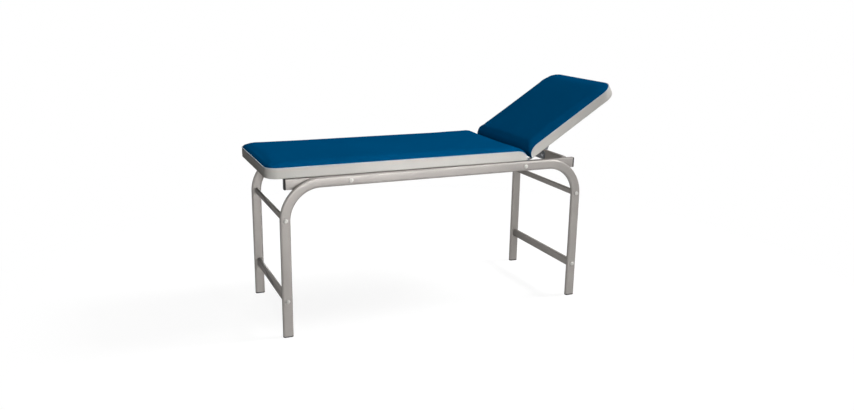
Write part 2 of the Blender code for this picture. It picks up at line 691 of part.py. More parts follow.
def build_frame(finishes, frame):
    for side, out in SIDES.items():
        side_frame(side, out, finishes, frame)
        bed_rail(side, out, finishes, frame)
        for place, x, z in bolt_places():
            bolt_and_cap(place, x, z, side, out, finishes, frame)
        for end, along in ENDS.items():
            foot_cap(end, along, side, out, finishes, frame)
            rail_plug(end, along, side, out, finishes, frame)
    for end, along in ENDS.items():
        for level, height in LEVELS.items():
            crossbar(end, along, level, height, finishes, frame)
    for name, x in (("foot", FOOT_BAR_X), ("hinge", HINGE_BAR_X), ("head", HEAD_BAR_X)):
        bed_crossbar(f"bed_{name}_crossbar", x, finishes, frame)
    prop_bracket(finishes, frame)


def build_pads(finishes, frame, head):
    def on_seat(d, y, h):
        return (SEAT_END_X - d, y, BOARD_Z + h)

    def on_head(d, y, h):
        return (HEAD_SETBACK + d, y, h - HINGE_RISE)

    for name, length, radius, at, parent in (
        ("seat", SEAT_LENGTH, SEAT_CORNER, on_seat, frame),
        ("head", HEAD_LENGTH, HEAD_CORNER, on_head, head),
    ):
        pad_board(name, length, radius, at, finishes, parent)
        pad_cushion(name, length, radius, at, finishes, parent)
        pad_band(name, length, radius, at, finishes, parent)


def main():
    clear_scene()
    finishes = make_finishes()
    frame = empty("table", (-MIDDLE_X, 0.0, FLOOR))
    head = empty("head_section", (HINGE_X, 0.0, HINGE_Z), frame)
    head.rotation_euler = (0.0, -HEAD_RAISE, 0.0)
    arm = empty("prop", (PIVOT_X, 0.0, PIVOT_Z), frame)
    arm.rotation_euler = (0.0, -(2 * (HEAD_RAISE - SLOT_TILT) + PIVOT_ANGLE), 0.0)
    build_frame(finishes, frame)
    build_pads(finishes, frame, head)
    for side, out in SIDES.items():
        hinge(side, out, finishes, frame, head)
    guide_channel(finishes, head)
    prop_arm(finishes, arm)
    bpy.context.view_layer.update()
    for name, helper in (("head hinge", head), ("prop pivot", arm)):
        place = Vector(helper.matrix_world.translation)
        print(name, [round(value, 6) for value in place])


if __name__ == "__main__":
    main()
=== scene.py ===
"""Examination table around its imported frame: vinyl pads, painted tubes, zinc fittings and the studio."""

import json
from math import cos, hypot, pi, radians, sin, sqrt, tanh

import bmesh
import bpy
from bpy.props import FloatProperty, FloatVectorProperty, IntProperty, PointerProperty
from mathutils import Matrix, Vector


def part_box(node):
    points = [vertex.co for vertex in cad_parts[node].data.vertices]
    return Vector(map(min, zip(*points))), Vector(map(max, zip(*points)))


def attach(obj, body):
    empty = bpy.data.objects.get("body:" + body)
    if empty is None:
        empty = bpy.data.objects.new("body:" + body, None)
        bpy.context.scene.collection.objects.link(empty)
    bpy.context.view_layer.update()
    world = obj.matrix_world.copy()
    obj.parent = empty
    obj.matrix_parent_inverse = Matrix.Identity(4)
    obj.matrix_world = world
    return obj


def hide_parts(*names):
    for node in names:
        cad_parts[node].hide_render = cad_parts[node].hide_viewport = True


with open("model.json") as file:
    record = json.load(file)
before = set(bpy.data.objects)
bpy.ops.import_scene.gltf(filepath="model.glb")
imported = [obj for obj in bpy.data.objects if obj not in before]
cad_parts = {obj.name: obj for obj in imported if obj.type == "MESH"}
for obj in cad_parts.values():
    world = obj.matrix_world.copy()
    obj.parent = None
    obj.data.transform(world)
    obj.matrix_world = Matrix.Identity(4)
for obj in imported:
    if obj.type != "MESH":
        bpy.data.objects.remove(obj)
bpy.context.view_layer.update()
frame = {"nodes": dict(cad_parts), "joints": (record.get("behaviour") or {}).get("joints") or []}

bl_info = {
    "name": "Examination table",
    "version": (1, 0, 0),
    "blender": (4, 5, 0),
    "location": "View3D > Sidebar > Table",
    "description": "Dresses the examination table's frame, pads and fittings",
    "category": "Object",
}

SIDES = {"left": -1, "right": 1}
ENDS = {"foot": -1, "head": 1}
TABLE = "table_frame"
HEAD = "head_section"
PROP = "prop"

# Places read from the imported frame
HINGE = next(joint for joint in frame["joints"] if joint["name"] == "head_hinge")
HINGE_PLACE = Vector(HINGE["pos_m"])
HEAD_RAISE = radians(-HINGE["range_deg"][0])
HEAD_TURN = Matrix.Translation(HINGE_PLACE) @ Matrix.Rotation(-HEAD_RAISE, 4, "Y")
STILL = Matrix.Identity(4)


def local_box(node, turn):
    """Lowest and highest corner of a node, measured along the axes of a turned section."""
    back = turn.inverted()
    points = [back @ vertex.co for vertex in frame["nodes"][node].data.vertices]
    low = Vector([min(point[k] for point in points) for k in range(3)])
    high = Vector([max(point[k] for point in points) for k in range(3)])
    return low, high


SEAT_BAND = local_box("seat_band", STILL)
HEAD_BAND = local_box("head_band", HEAD_TURN)
PAD_HALF = SEAT_BAND[1].y
BAND_HEIGHT = SEAT_BAND[1].z - SEAT_BAND[0].z
BOARD_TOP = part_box("seat_board")[1].z - SEAT_BAND[0].z


def a_length(name, description, default):
    return FloatProperty(name=name, description=description, default=default, unit="LENGTH")


def an_angle(name, description, degrees):
    return FloatProperty(name=name, description=description, default=radians(degrees), subtype="ANGLE")


def a_power(name, description, default):
    return FloatProperty(name=name, description=description, default=default, unit="POWER")


def a_colour(name, description, default):
    return FloatVectorProperty(name=name, description=description, default=default, subtype="COLOR")


class PadSettings(bpy.types.PropertyGroup):
    """Sizes and colours of the upholstery."""

    corner: a_length("Corner", "Radius of the outer corners", 0.060)
    head_corner: a_length("Head corner", "Radius of the head pad's corners", 0.085)
    nose: a_length("Nose", "Length of the round ends at the hinge", 0.055)
    head_nose: a_length("Head nose", "Length of the head pad's fuller round end", 0.030)
    nose_drop: a_length("Nose drop", "Height of the round ends at the hinge", 0.040)
    rise: a_length("Rise", "Top of the cover above the side band", 0.0155)
    crown: a_length("Crown", "Middle of the cover above its edge", 0.002)
    shoulder: a_length("Shoulder", "Width of the round edge", 0.019)
    drop: a_length("Drop", "Height of the round edge", 0.0185)
    mesh_step: a_length("Mesh step", "Spacing of the cover's mesh", 0.009)
    pressure: FloatProperty(
        name="Pressure", description="Push of the foam against the cover", default=4.0
    )
    swell: a_length("Swell", "Most that the foam moves the cover", 0.005)
    frames: IntProperty(name="Frames", description="Length of the cloth simulation", default=20)
    band_bulge: a_length("Band bulge", "Side band's swelling", 0.0012)
    welt: a_length("Welt", "Diameter of the cord in the seam", 0.0042)
    hem: a_length("Hem", "Cover turned under the board", 0.022)
    staple_step: a_length("Staple step", "Distance between staples", 0.045)
    top_colour: a_colour("Top", "Cover on top", (0.0, 0.060, 0.162))
    side_colour: a_colour("Side", "Side band", (0.60, 0.583, 0.551))
    # Welt colour: a real seam cord, but its pale bluish colour paints the highlight along the fold at the
    # band's top
    welt_highlight_colour: a_colour("Welt", "Seam cord, pale as a painted highlight", (0.56, 0.62, 0.67))


class FrameSettings(bpy.types.PropertyGroup):
    """Sizes and colours of the metal and plastic."""

    tube_corner: a_length("Tube corner", "Round edges of the side tubes", 0.0105)
    bend: a_length("Bend", "Bend of a side tube, to its centre", 0.169)
    wall: a_length("Wall", "Wall of the side tubes", 0.0015)
    box_corner: a_length("Box corner", "Round edges of the bed tubes", 0.003)
    softening: a_length("Softening", "Round on cut edges", 0.0006)
    weld: a_length("Weld", "Thickness of a weld bead", 0.0036)
    paint: a_colour("Paint", "Silver paint", (0.362, 0.341, 0.323))
    zinc: a_colour("Zinc", "Bright zinc plating", (0.40, 0.42, 0.45))
    # Painted shade: a darker, less metallic copy of the zinc for the parts in shade under the head pad
    dull_zinc: a_colour("Dull zinc", "Zinc plating darkened as painted shade", (0.23, 0.245, 0.265))
    cover: a_colour("Bolt cover", "Pale plastic", (0.65, 0.64, 0.61))
    black: a_colour("Black", "Black plastic", (0.017, 0.017, 0.018))
    ply: a_colour("Plywood", "Birch plywood", (0.56, 0.40, 0.24))


class StageSettings(bpy.types.PropertyGroup):
    """Camera and light."""

    camera: FloatVectorProperty(
        name="Camera", description="Place of the camera", subtype="XYZ", unit="LENGTH",
        default=(-1.648869, -3.7476, 1.5585),
    )
    azimuth: an_angle("Azimuth", "Camera's turn about the table", -23.52)
    elevation: an_angle("Elevation", "Camera's height as an angle", 14.79)
    roll: an_angle("Roll", "Camera's turn about its view", 0.92)
    lens: FloatProperty(name="Lens", description="Focal length in millimetres", default=34.27)
    overhead: a_power("Overhead", "Power of the light above", 945.0)
    front: a_power("Front", "Power of the light in front", 6.0)
    front_spread: an_angle("Front spread", "Angle of the front light's beam", 34.4)
    fill: a_power("Fill", "Power of the light beside the camera", 43.0)
    side: a_power("Side", "Power of the light over the foot end", 60.0)
    behind: a_power("Behind", "Power of the light behind", 190.0)
    ambient: FloatProperty(name="Ambient", description="Light from all round", default=0.07)


def pads():
    return bpy.context.scene.table_pads


def metal():
    return bpy.context.scene.table_frame


def begin(piece=None):
    """Object mode, with nothing or only this piece selected."""
    if bpy.context.mode != "OBJECT":
        bpy.ops.object.mode_set(mode="OBJECT")
    bpy.ops.object.select_all(action="DESELECT")
    if piece:
        piece.select_set(True)
        bpy.context.view_layer.objects.active = piece


def edit(piece, kind="FACE"):
    begin(piece)
    bpy.ops.object.mode_set(mode="EDIT")
    bpy.ops.mesh.select_mode(type=kind)
    bpy.ops.mesh.select_all(action="SELECT")


def pick_edges(piece, test):
    """Select only the edges that pass a test."""
    bpy.ops.mesh.select_mode(type="EDGE")
    bpy.ops.mesh.select_all(action="DESELECT")
    mesh = bmesh.from_edit_mesh(piece.data)
    for edge in mesh.edges:
        if test(edge):
            edge.select_set(True)
    bmesh.update_edit_mesh(piece.data)


def settle(piece):
    """Put the piece's place into its mesh."""
    begin(piece)
    bpy.ops.object.transform_apply(location=True, rotation=True, scale=True)


def outward(piece):
    """Merge doubles and point all faces outwards."""
    edit(piece)
    bpy.ops.mesh.remove_doubles(threshold=0.00001)
    bpy.ops.mesh.select_all(action="SELECT")
    bpy.ops.mesh.normals_make_consistent(inside=False)
    begin(piece)


def apply_modifiers(piece):
    begin(piece)
    for change in list(piece.modifiers):
        bpy.ops.object.modifier_apply(modifier=change.name)


def soften(piece, width, angle, segments=2):
    """Round the sharp edges and smooth the rest."""
    change = piece.modifiers.new("Soft edges", "BEVEL")
    change.width = width
    change.segments = segments
    change.limit_method = "ANGLE"
    change.angle_limit = radians(angle)
    apply_modifiers(piece)
    outward(piece)
    smooth(piece, angle)


def smooth(piece, angle):
    begin(piece)
    bpy.ops.object.shade_smooth_by_angle(angle=radians(angle))


def cover_with(piece, look):
    """Give the whole piece one finish."""
    piece.data.materials.clear()
    piece.data.materials.append(finish(look))
    for face in piece.data.polygons:
        face.material_index = 0


def dress(piece, body, slot, *nodes, look=None):
    """Give the piece its finish, its body and the nodes it stands for."""
    cover_with(piece, look or slot)
    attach(piece, body)
    if nodes:
        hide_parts(*nodes)


def plate(name, axis, centre, size, corner, segments=8):
    """Flat face with round corners, square to an axis and selected: the start of a tube, cap or plug."""
    begin()
    turn = {"X": (pi / 2, 0, pi / 2), "Y": (pi / 2, 0, 0), "Z": (0, 0, 0)}[axis]
    bpy.ops.mesh.primitive_plane_add(size=1.0, location=centre, rotation=turn)
    piece = bpy.context.object
    piece.name = name
    piece.scale = (size[0], size[1], 1.0)
    settle(piece)
    edit(piece, "VERT")
    bpy.ops.mesh.bevel(offset=corner, segments=segments, affect="VERTICES")
    bpy.ops.mesh.select_all(action="SELECT")
    return piece


def disc(name, sides, radius, place=(0, 0, 0), turn=(0, 0, 0)):
    """Flat round face, selected: the start of a cap or a screw."""
    begin()
    bpy.ops.mesh.primitive_circle_add(
        vertices=sides, radius=radius, fill_type="NGON", location=place, rotation=turn
    )
    piece = bpy.context.object
    piece.name = name
    settle(piece)
    edit(piece)
    return piece


def pull(vector):
    bpy.ops.mesh.extrude_region_move(TRANSFORM_OT_translate={"value": vector})


def step_in(inset, move):
    """Inset the selected face and move it."""
    bpy.ops.mesh.inset(thickness=inset)
    bpy.ops.transform.translate(value=move)


def keep_outline():
    """Leave only the selected outline of a flat face."""
    bpy.ops.mesh.delete(type="ONLY_FACE")
    bpy.ops.mesh.select_mode(type="EDGE")
    bpy.ops.mesh.select_all(action="SELECT")


def copy_of(node, name):
    """Copy of a solid with its loose triangles merged into whole faces."""
    piece = bpy.data.objects.new(name, frame["nodes"][node].data.copy())
    bpy.context.scene.collection.objects.link(piece)
    begin(piece)
    bpy.ops.mesh.customdata_custom_splitnormals_clear()
    outward(piece)
    edit(piece)
    bpy.ops.mesh.dissolve_limited(angle_limit=radians(0.5))
    begin(piece)
    return piece


def clone(piece, name, place):
    """Copy of a piece with its own mesh, moved to another place."""
    twin = bpy.data.objects.new(name, piece.data.copy())
    bpy.context.scene.collection.objects.link(twin)
    twin.data.transform(place)
    return twin


def join(pieces, name):
    begin()
    for piece in pieces:
        piece.select_set(True)
    bpy.context.view_layer.objects.active = pieces[0]
    if len(pieces) > 1:
        bpy.ops.object.join()
    joined = bpy.context.view_layer.objects.active
    joined.name = name
    return joined


def remove(piece):
    bpy.data.objects.remove(piece, do_unlink=True)


# Materials


def group(name, inputs, outputs):
    """Empty shader node group with named sockets."""
    tree = bpy.data.node_groups.new(name, "ShaderNodeTree")
    for label, value in inputs:
        socket = tree.interface.new_socket(label, in_out="INPUT", socket_type="NodeSocketFloat")
        socket.default_value = value
    for label in outputs:
        tree.interface.new_socket(label, in_out="OUTPUT", socket_type="NodeSocketFloat")
    return tree, tree.nodes.new("NodeGroupInput"), tree.nodes.new("NodeGroupOutput")


def feed(tree, socket, value):
    """Link a socket to another, or set it to a plain value."""
    if isinstance(value, bpy.types.NodeSocket):
        tree.links.new(value, socket)
    else:
        socket.default_value = value


def texture(tree, kind, scale, **values):
    """Texture node on Object coordinates. Scale may be a number or a socket."""
    node = tree.nodes.new(kind)
    coordinates = tree.nodes.new("ShaderNodeTexCoord")
    tree.links.new(coordinates.outputs["Object"], node.inputs["Vector"])
    feed(tree, node.inputs["Scale"], scale)
    for key, value in values.items():
        if key in node.inputs:
            node.inputs[key].default_value = value
        else:
            setattr(node, key, value)
    return node


def turned(tree, node, turn, stretch):
    """Turn a texture's coordinates to a piece's own axes, then stretch them."""
    mapping = tree.nodes.new("ShaderNodeMapping")
    mapping.vector_type = "TEXTURE"
    mapping.inputs["Rotation"].default_value = turn
    mapping.inputs["Scale"].default_value = [1.0 / part for part in stretch]
    source = node.inputs["Vector"].links[0].from_socket
    tree.links.new(source, mapping.inputs["Vector"])
    tree.links.new(mapping.outputs["Vector"], node.inputs["Vector"])


def maths(tree, operation, first, second):
    node = tree.nodes.new("ShaderNodeMath")
    node.operation = operation
    for socket, value in zip(node.inputs, (first, second)):
        feed(tree, socket, value)
    return node.outputs[0]


def spread(tree, value, low, high, to_low, to_high):
    """Map a value from one range to another, clamped."""
    node = tree.nodes.new("ShaderNodeMapRange")
    labels = ("Value", "From Min", "From Max", "To Min", "To Max")
    for label, number in zip(labels, (value, low, high, to_low, to_high)):
        feed(tree, node.inputs[label], number)
    return node.outputs["Result"]


def mottle_group():
    """Slow unevenness, as in paint, plating and worn vinyl."""
    tree, given, made = group("Mottle", (("Scale", 6.0), ("Contrast", 0.5)), ("Value",))
    noise = texture(tree, "ShaderNodeTexNoise", given.outputs["Scale"], Detail=5.0, Roughness=0.6)
    half = maths(tree, "MULTIPLY", given.outputs["Contrast"], 0.5)
    low = maths(tree, "SUBTRACT", 0.5, half)
    high = maths(tree, "ADD", 0.5, half)
    tree.links.new(spread(tree, noise.outputs["Fac"], 0.3, 0.7, low, high), made.inputs["Value"])
    return tree


def grain_group():
    """Embossed grain of vinyl: small rounded cells with creases between them."""
    tree, given, made = group("Vinyl grain", (("Scale", 520.0),), ("Height", "Crease"))
    cells = texture(
        tree, "ShaderNodeTexVoronoi", given.outputs["Scale"], feature="DISTANCE_TO_EDGE", Randomness=0.9
    )
    crease = spread(tree, cells.outputs["Distance"], 0.0, 0.16, 1.0, 0.0)
    pores = texture(tree, "ShaderNodeTexNoise", maths(tree, "MULTIPLY", given.outputs["Scale"], 2.6))
    bumps = maths(tree, "MULTIPLY", pores.outputs["Fac"], 0.35)
    tree.links.new(maths(tree, "SUBTRACT", bumps, crease), made.inputs["Height"])
    tree.links.new(crease, made.inputs["Crease"])
    return tree


def scuff_group():
    """Thin scratches in two directions, for roughness."""
    tree, given, made = group("Scuffs", (("Scale", 30.0), ("Amount", 0.5)), ("Mask",))
    marks = []
    for turn, stretch in ((0.4, (1.0, 14.0, 9.0)), (-0.7, (12.0, 1.0, 8.0))):
        noise = texture(tree, "ShaderNodeTexNoise", given.outputs["Scale"], Detail=2.0)
        turned(tree, noise, (turn, turn / 2, turn), stretch)
        marks.append(spread(tree, noise.outputs["Fac"], 0.62, 0.74, 0.0, 1.0))
    both = maths(tree, "MAXIMUM", *marks)
    tree.links.new(maths(tree, "MULTIPLY", both, given.outputs["Amount"]), made.inputs["Mask"])
    return tree


GROUP_MAKERS = {"Mottle": mottle_group, "Vinyl grain": grain_group, "Scuffs": scuff_group}


class Finish:
    """A material that is put together step by step."""

    def __init__(self, name, colour, roughness, metallic=0.0, specular=0.0):
        self.material = bpy.data.materials.new(name)
        self.material.use_nodes = True
        self.material.diffuse_color = (*colour, 1.0)
        self.tree = self.material.node_tree
        self.shader = self.tree.nodes["Principled BSDF"]
        self.colour = colour
        self.put("Base Color", (*colour, 1.0))
        self.put("Roughness", roughness)
        self.put("Metallic", metallic)
        self.put("Specular IOR Level", specular)

    def put(self, label, value):
        feed(self.tree, self.shader.inputs[label], value)

    def effect(self, name, **values):
        """A shared node group with its own values."""
        node = self.tree.nodes.new("ShaderNodeGroup")
        node.node_tree = bpy.data.node_groups.get(name) or GROUP_MAKERS[name]()
        for label, value in values.items():
            node.inputs[label].default_value = value
        return node

    def mottle(self, scale, contrast):
        return self.effect("Mottle", Scale=scale, Contrast=contrast).outputs["Value"]

    def scuffs(self, scale, amount):
        return self.effect("Scuffs", Scale=scale, Amount=amount).outputs["Mask"]

    def noise(self, scale, **values):
        return texture(self.tree, "ShaderNodeTexNoise", scale, **values)

    def speckle(self, scale):
        """Another random value in each small cell."""
        cells = texture(self.tree, "ShaderNodeTexVoronoi", scale, feature="F1")
        parts = self.tree.nodes.new("ShaderNodeSeparateColor")
        self.tree.links.new(cells.outputs["Color"], parts.inputs["Color"])
        return parts.outputs["Red"]

    def times(self, value, share):
        return maths(self.tree, "MULTIPLY", value, share)

    def plus(self, first, second):
        return maths(self.tree, "ADD", first, second)

    def blend(self, factor, under, over):
        """Base colour from one colour to another."""
        mix = self.tree.nodes.new("ShaderNodeMix")
        mix.data_type = "RGBA"
        for label, value in (("Factor", factor), ("A", under), ("B", over)):
            feed(self.tree, mix.inputs[label], value)
        self.put("Base Color", mix.outputs["Result"])

    def shade(self, factor, darker, lighter):
        """Base colour between two strengths of the finish's own colour."""
        ends = [(*[min(part * gain, 1.0) for part in self.colour], 1.0) for gain in (darker, lighter)]
        self.blend(factor, *ends)

    def tint(self, factor, colour):
        """Another colour over the shaded one, where the factor is high."""
        shaded = self.shader.inputs["Base Color"].links[0].from_socket
        self.blend(factor, shaded, (*colour, 1.0))

    def rough(self, socket, low, high):
        self.put("Roughness", spread(self.tree, socket, 0.0, 1.0, low, high))

    def bump(self, socket, strength, distance):
        """A bump on top of those that are there."""
        node = self.tree.nodes.new("ShaderNodeBump")
        node.inputs["Strength"].default_value = strength
        node.inputs["Distance"].default_value = distance
        for link in self.shader.inputs["Normal"].links:
            self.tree.links.new(link.from_socket, node.inputs["Normal"])
        self.tree.links.new(socket, node.inputs["Height"])
        self.put("Normal", node.outputs["Normal"])


def vinyl(name, colour, roughness, grain):
    look = Finish(name, colour, roughness)
    worn = look.mottle(scale=2.2, contrast=1.0)
    look.shade(worn, darker=0.94, lighter=1.06)
    cells = look.effect("Vinyl grain", Scale=grain)
    look.tint(look.times(cells.outputs["Crease"], 0.18), [part * 0.6 for part in colour])
    look.rough(worn, low=roughness - 0.05, high=roughness + 0.06)
    look.bump(cells.outputs["Height"], strength=0.25, distance=0.0003)
    look.bump(look.noise(14.0, Detail=1.0).outputs["Fac"], strength=0.06, distance=0.004)
    return look.material


def paint(name, colour):
    look = Finish(name, colour, roughness=0.38, metallic=0.36, specular=0.02)
    look.put("Specular Tint", (0.0, 0.0, 0.0, 1.0))
    uneven = look.times(look.mottle(scale=4.0, contrast=0.8), 0.6)
    flakes = look.times(look.speckle(2600.0), 0.4)
    look.shade(look.plus(uneven, flakes), darker=0.90, lighter=1.10)
    look.rough(look.plus(uneven, look.scuffs(scale=22.0, amount=0.35)), low=0.34, high=0.52)
    look.bump(look.noise(420.0, Detail=2.0).outputs["Fac"], strength=0.08, distance=0.0004)
    return look.material


def plating(name, colour, metallic):
    look = Finish(name, colour, roughness=0.4, metallic=metallic, specular=0.2)
    dull = look.mottle(scale=25.0, contrast=1.0)
    spangle = look.times(look.speckle(180.0), 0.35)
    look.shade(look.plus(spangle, look.times(dull, 0.65)), darker=0.82, lighter=1.12)
    look.rough(look.plus(look.times(dull, 0.5), look.scuffs(scale=60.0, amount=0.5)), low=0.26, high=0.48)
    look.bump(dull, strength=0.05, distance=0.0003)
    return look.material


def plastic(name, colour, roughness, grain, depth):
    look = Finish(name, colour, roughness, specular=0.1)
    uneven = look.mottle(scale=40.0, contrast=0.9)
    look.shade(uneven, darker=0.92, lighter=1.08)
    marks = look.plus(look.times(uneven, 0.6), look.scuffs(scale=70.0, amount=0.4))
    look.rough(marks, low=roughness - 0.06, high=roughness + 0.12)
    look.bump(look.noise(grain, Detail=2.0).outputs["Fac"], strength=0.12, distance=depth)
    return look.material


def plywood(name, colour, slope):
    """Birch veneer, with the grain along a sloping board and the plies on its edges."""
    look = Finish(name, colour, roughness=0.62, specular=0.1)
    turn = (0.0, slope, 0.0)
    grain = look.noise(9.0, Detail=6.0, Distortion=0.6)
    turned(look.tree, grain, turn, stretch=(0.35, 7.0, 7.0))
    streak = spread(look.tree, grain.outputs["Fac"], 0.35, 0.68, 0.0, 1.0)
    look.shade(streak, darker=0.74, lighter=1.14)
    plies = texture(look.tree, "ShaderNodeTexWave", 110.0, bands_direction="Z", Distortion=0.4)
    turned(look.tree, plies, turn, stretch=(1.0, 1.0, 1.0))
    look.tint(look.times(plies.outputs["Fac"], 0.22), (0.30, 0.18, 0.09))
    look.rough(streak, low=0.55, high=0.72)
    look.bump(streak, strength=0.10, distance=0.0006)
    return look.material


FINISHES = {}


def finish(name):
    """The finish of that name, made when it is first asked for."""
    if name not in FINISHES:
        maker, colour, values = {
            "silver_paint": (paint, metal().paint, {}),
            "zinc_steel": (plating, metal().zinc, {"metallic": 0.6}),
            # painted shade: the parts under the head pad get this darker copy of the zinc
            "dull_zinc": (plating, metal().dull_zinc, {"metallic": 0.15}),
            "seat_ply": (plywood, metal().ply, {"slope": 0.0}),
            "head_ply": (plywood, metal().ply, {"slope": -HEAD_RAISE}),
            "white_plastic": (plastic, metal().cover, {"roughness": 0.38, "grain": 900.0, "depth": 0.0001}),
            "black_plastic": (plastic, metal().black, {"roughness": 0.5, "grain": 1400.0, "depth": 0.0002}),
            "blue_vinyl": (vinyl, pads().top_colour, {"roughness": 0.5, "grain": 520.0}),
            "beige_vinyl": (vinyl, pads().side_colour, {"roughness": 0.5, "grain": 560.0}),
            # painted highlight: the welt cord's pale bluish colour stands for the highlight on the band's
            # fold
            "welt_vinyl": (vinyl, pads().welt_highlight_colour, {"roughness": 0.45, "grain": 700.0}),
        }[name]
        FINISHES[name] = maker(name, colour, **values)
    return FINISHES[name]


# Frame

BAR_ROUND = 0.48  # corner of a flat-oval bar, as a share of its width
BAR_STEPS = 10  # facets in that corner
BOX_STEPS = 5  # facets in the corner of a bed tube
BEAD_STEPS = 3  # facets in the corner of a weld
WELD_BACK = 0.2  # middle of a weld bead from the end of its bar, as a share of its thickness
FOOT_RIM = 0.0018  # step from a foot to the plug inside its leg
PLUG_RIM = 0.0035  # flat border of a rail plug
PLUG_DISH = 0.0008  # depth of a rail plug's hollow middle
PLUG_LIP = 0.7  # round on a rail plug's rim, as a share of a foot's
COVER_DOME = ((0.0009, 0.0014), (0.0014, 0.0010), (0.0022, 0.0007), (0.0026, 0.0003))  # (inset, lift)
COVER_EDGE = 0.0004  # round on a bolt cover's rim


class Span:
    """Box of a node: its corners, middle and size."""

    def __init__(self, node):
        self.low, self.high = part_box(node)
        self.middle = (self.low + self.high) / 2
        self.size = self.high - self.low


def end_of(node, axis, way):
    """Coordinate of a node's end on one side."""
    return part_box(node)[1 if way > 0 else 0][axis]


def bar(name, axis, node, corner, segments):
    """Straight bar that fills a node's box, drawn along an axis."""
    box = Span(node)
    along = "XYZ".index(axis)
    start = box.middle.copy()
    start[along] = box.low[along]
    across = [box.size[k] for k in range(3) if k != along]
    piece = plate(name, axis, start, across, corner, segments)
    pull([box.size[k] if k == along else 0 for k in range(3)])
    outward(piece)
    return piece


class TABLE_OT_side_tubes(bpy.types.Operator):
    """Bend the two side tubes: leg, bend, rail, bend, leg"""

    bl_idname = "exam_table.side_tubes"
    bl_label = "Side tubes"

    bend_steps: IntProperty(name="Bend steps", description="Facets in a bend", default=24, min=8)

    def execute(self, context):
        for side in SIDES:
            foot = Span(f"foot_cap_foot_{side}")
            self.bend_tube(side, Span(f"side_frame_{side}"), foot.high.x - foot.low.x)
        return {"FINISHED"}

    def bend_tube(self, side, box, depth):
        settings = metal()
        y = box.middle.y
        start = (box.low.x + depth / 2, y, box.low.z)
        piece = plate(f"side_tube_{side}", "Z", start, (depth, box.size.y), settings.tube_corner)
        keep_outline()
        bend_height = box.high.z - depth / 2 - settings.bend
        first = box.low.x + depth / 2 + settings.bend
        last = box.high.x - depth / 2 - settings.bend
        pull((0, 0, bend_height - box.low.z))
        self.turn((first, y, bend_height))
        pull((last - first, 0, 0))
        self.turn((last, y, bend_height))
        pull((0, 0, box.low.z - bend_height))
        outward(piece)
        wall = piece.modifiers.new("Wall", "SOLIDIFY")
        wall.thickness = settings.wall
        wall.offset = -1.0
        apply_modifiers(piece)
        smooth(piece, angle=30.0)
        dress(piece, TABLE, "silver_paint", f"side_frame_{side}")

    def turn(self, centre):
        bpy.ops.mesh.spin(steps=self.bend_steps, angle=pi / 2, center=centre, axis=(0, -1, 0))


class TABLE_OT_leg_bars(bpy.types.Operator):
    """Draw the flat-oval bars between the legs"""

    bl_idname = "exam_table.leg_bars"
    bl_label = "Leg bars"

    def execute(self, context):
        for end in ENDS:
            for level in ("upper", "lower"):
                node = f"{end}_{level}_bar"
                corner = Span(node).size.x * BAR_ROUND
                piece = bar(f"leg_bar_{end}_{level}", "Y", node, corner, BAR_STEPS)
                soften(piece, metal().softening, angle=60.0)
                dress(piece, TABLE, "silver_paint", node)
        return {"FINISHED"}


class TABLE_OT_bed_frame(bpy.types.Operator):
    """Draw the bed's rails and crossbars, and weld them together"""

    bl_idname = "exam_table.bed_frame"
    bl_label = "Bed frame"

    def execute(self, context):
        for side in SIDES:
            self.tube(f"bed_side_rail_{side}", "X", f"bed_rail_{side}")
        for place in ("foot", "hinge", "head"):
            self.tube(f"bed_bar_{place}", "Y", f"bed_{place}_crossbar")
            self.weld(place)
        return {"FINISHED"}

    def tube(self, name, axis, node):
        piece = bar(name, axis, node, metal().box_corner, BOX_STEPS)
        smooth(piece, angle=30.0)
        dress(piece, TABLE, "silver_paint", node)

    def weld(self, place):
        """A bead round each end of a crossbar, below the rail's top."""
        settings = metal()
        box = Span(f"bed_{place}_crossbar")
        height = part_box("bed_rail_left")[1].z - box.low.z
        beads = []
        for out in SIDES.values():
            y = out * (box.high.y - settings.weld * WELD_BACK)
            centre = (box.middle.x, y, box.low.z + height / 2)
            bead = plate("bead", "Y", centre, (box.size.x, height), settings.box_corner, BEAD_STEPS)
            keep_outline()
            bpy.ops.mesh.subdivide(number_cuts=3)
            begin(bead)
            bpy.ops.object.convert(target="CURVE")
            bead = bpy.context.object
            bead.data.bevel_depth = settings.weld / 2
            bead.data.bevel_resolution = 2
            bpy.ops.object.convert(target="MESH")
            beads.append(bpy.context.object)
        piece = join(beads, f"weld_{place}")
        outward(piece)
        smooth(piece, angle=60.0)
        dress(piece, TABLE, "silver_paint")


class TABLE_OT_feet_and_plugs(bpy.types.Operator):
    """Mould the black feet and the plugs in the bed rails"""

    bl_idname = "exam_table.feet_and_plugs"
    bl_label = "Feet and plugs"

    lip: a_length("Lip", "Round on the rims", 0.0008)

    def execute(self, context):
        for end, along in ENDS.items():
            for side in SIDES:
                self.foot(end, side)
                self.plug(end, along, side)
        return {"FINISHED"}

    def foot(self, end, side):
        node = f"foot_cap_{end}_{side}"
        box = Span(node)
        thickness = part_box(f"side_frame_{side}")[0].z - box.low.z
        centre = (box.middle.x, box.middle.y, box.low.z)
        piece = plate(f"foot_{end}_{side}", "Z", centre, box.size[:2], metal().tube_corner)
        pull((0, 0, thickness))
        bpy.ops.mesh.inset(thickness=FOOT_RIM)
        pull((0, 0, box.size.z - thickness))
        outward(piece)
        soften(piece, self.lip, angle=60.0, segments=3)
        dress(piece, TABLE, "black_plastic", node)

    def plug(self, end, along, side):
        node = f"rail_plug_{end}_{side}"
        box = Span(node)
        root = end_of(f"bed_rail_{side}", 0, along)
        centre = (root, box.middle.y, box.middle.z)
        corner = metal().box_corner
        piece = plate(f"rail_end_{end}_{side}", "X", centre, box.size[1:], corner, BOX_STEPS)
        pull((end_of(node, 0, along) - root, 0, 0))
        step_in(PLUG_RIM, (-along * PLUG_DISH, 0, 0))
        outward(piece)
        soften(piece, self.lip * PLUG_LIP, angle=30.0, segments=3)
        dress(piece, TABLE, "black_plastic", node)


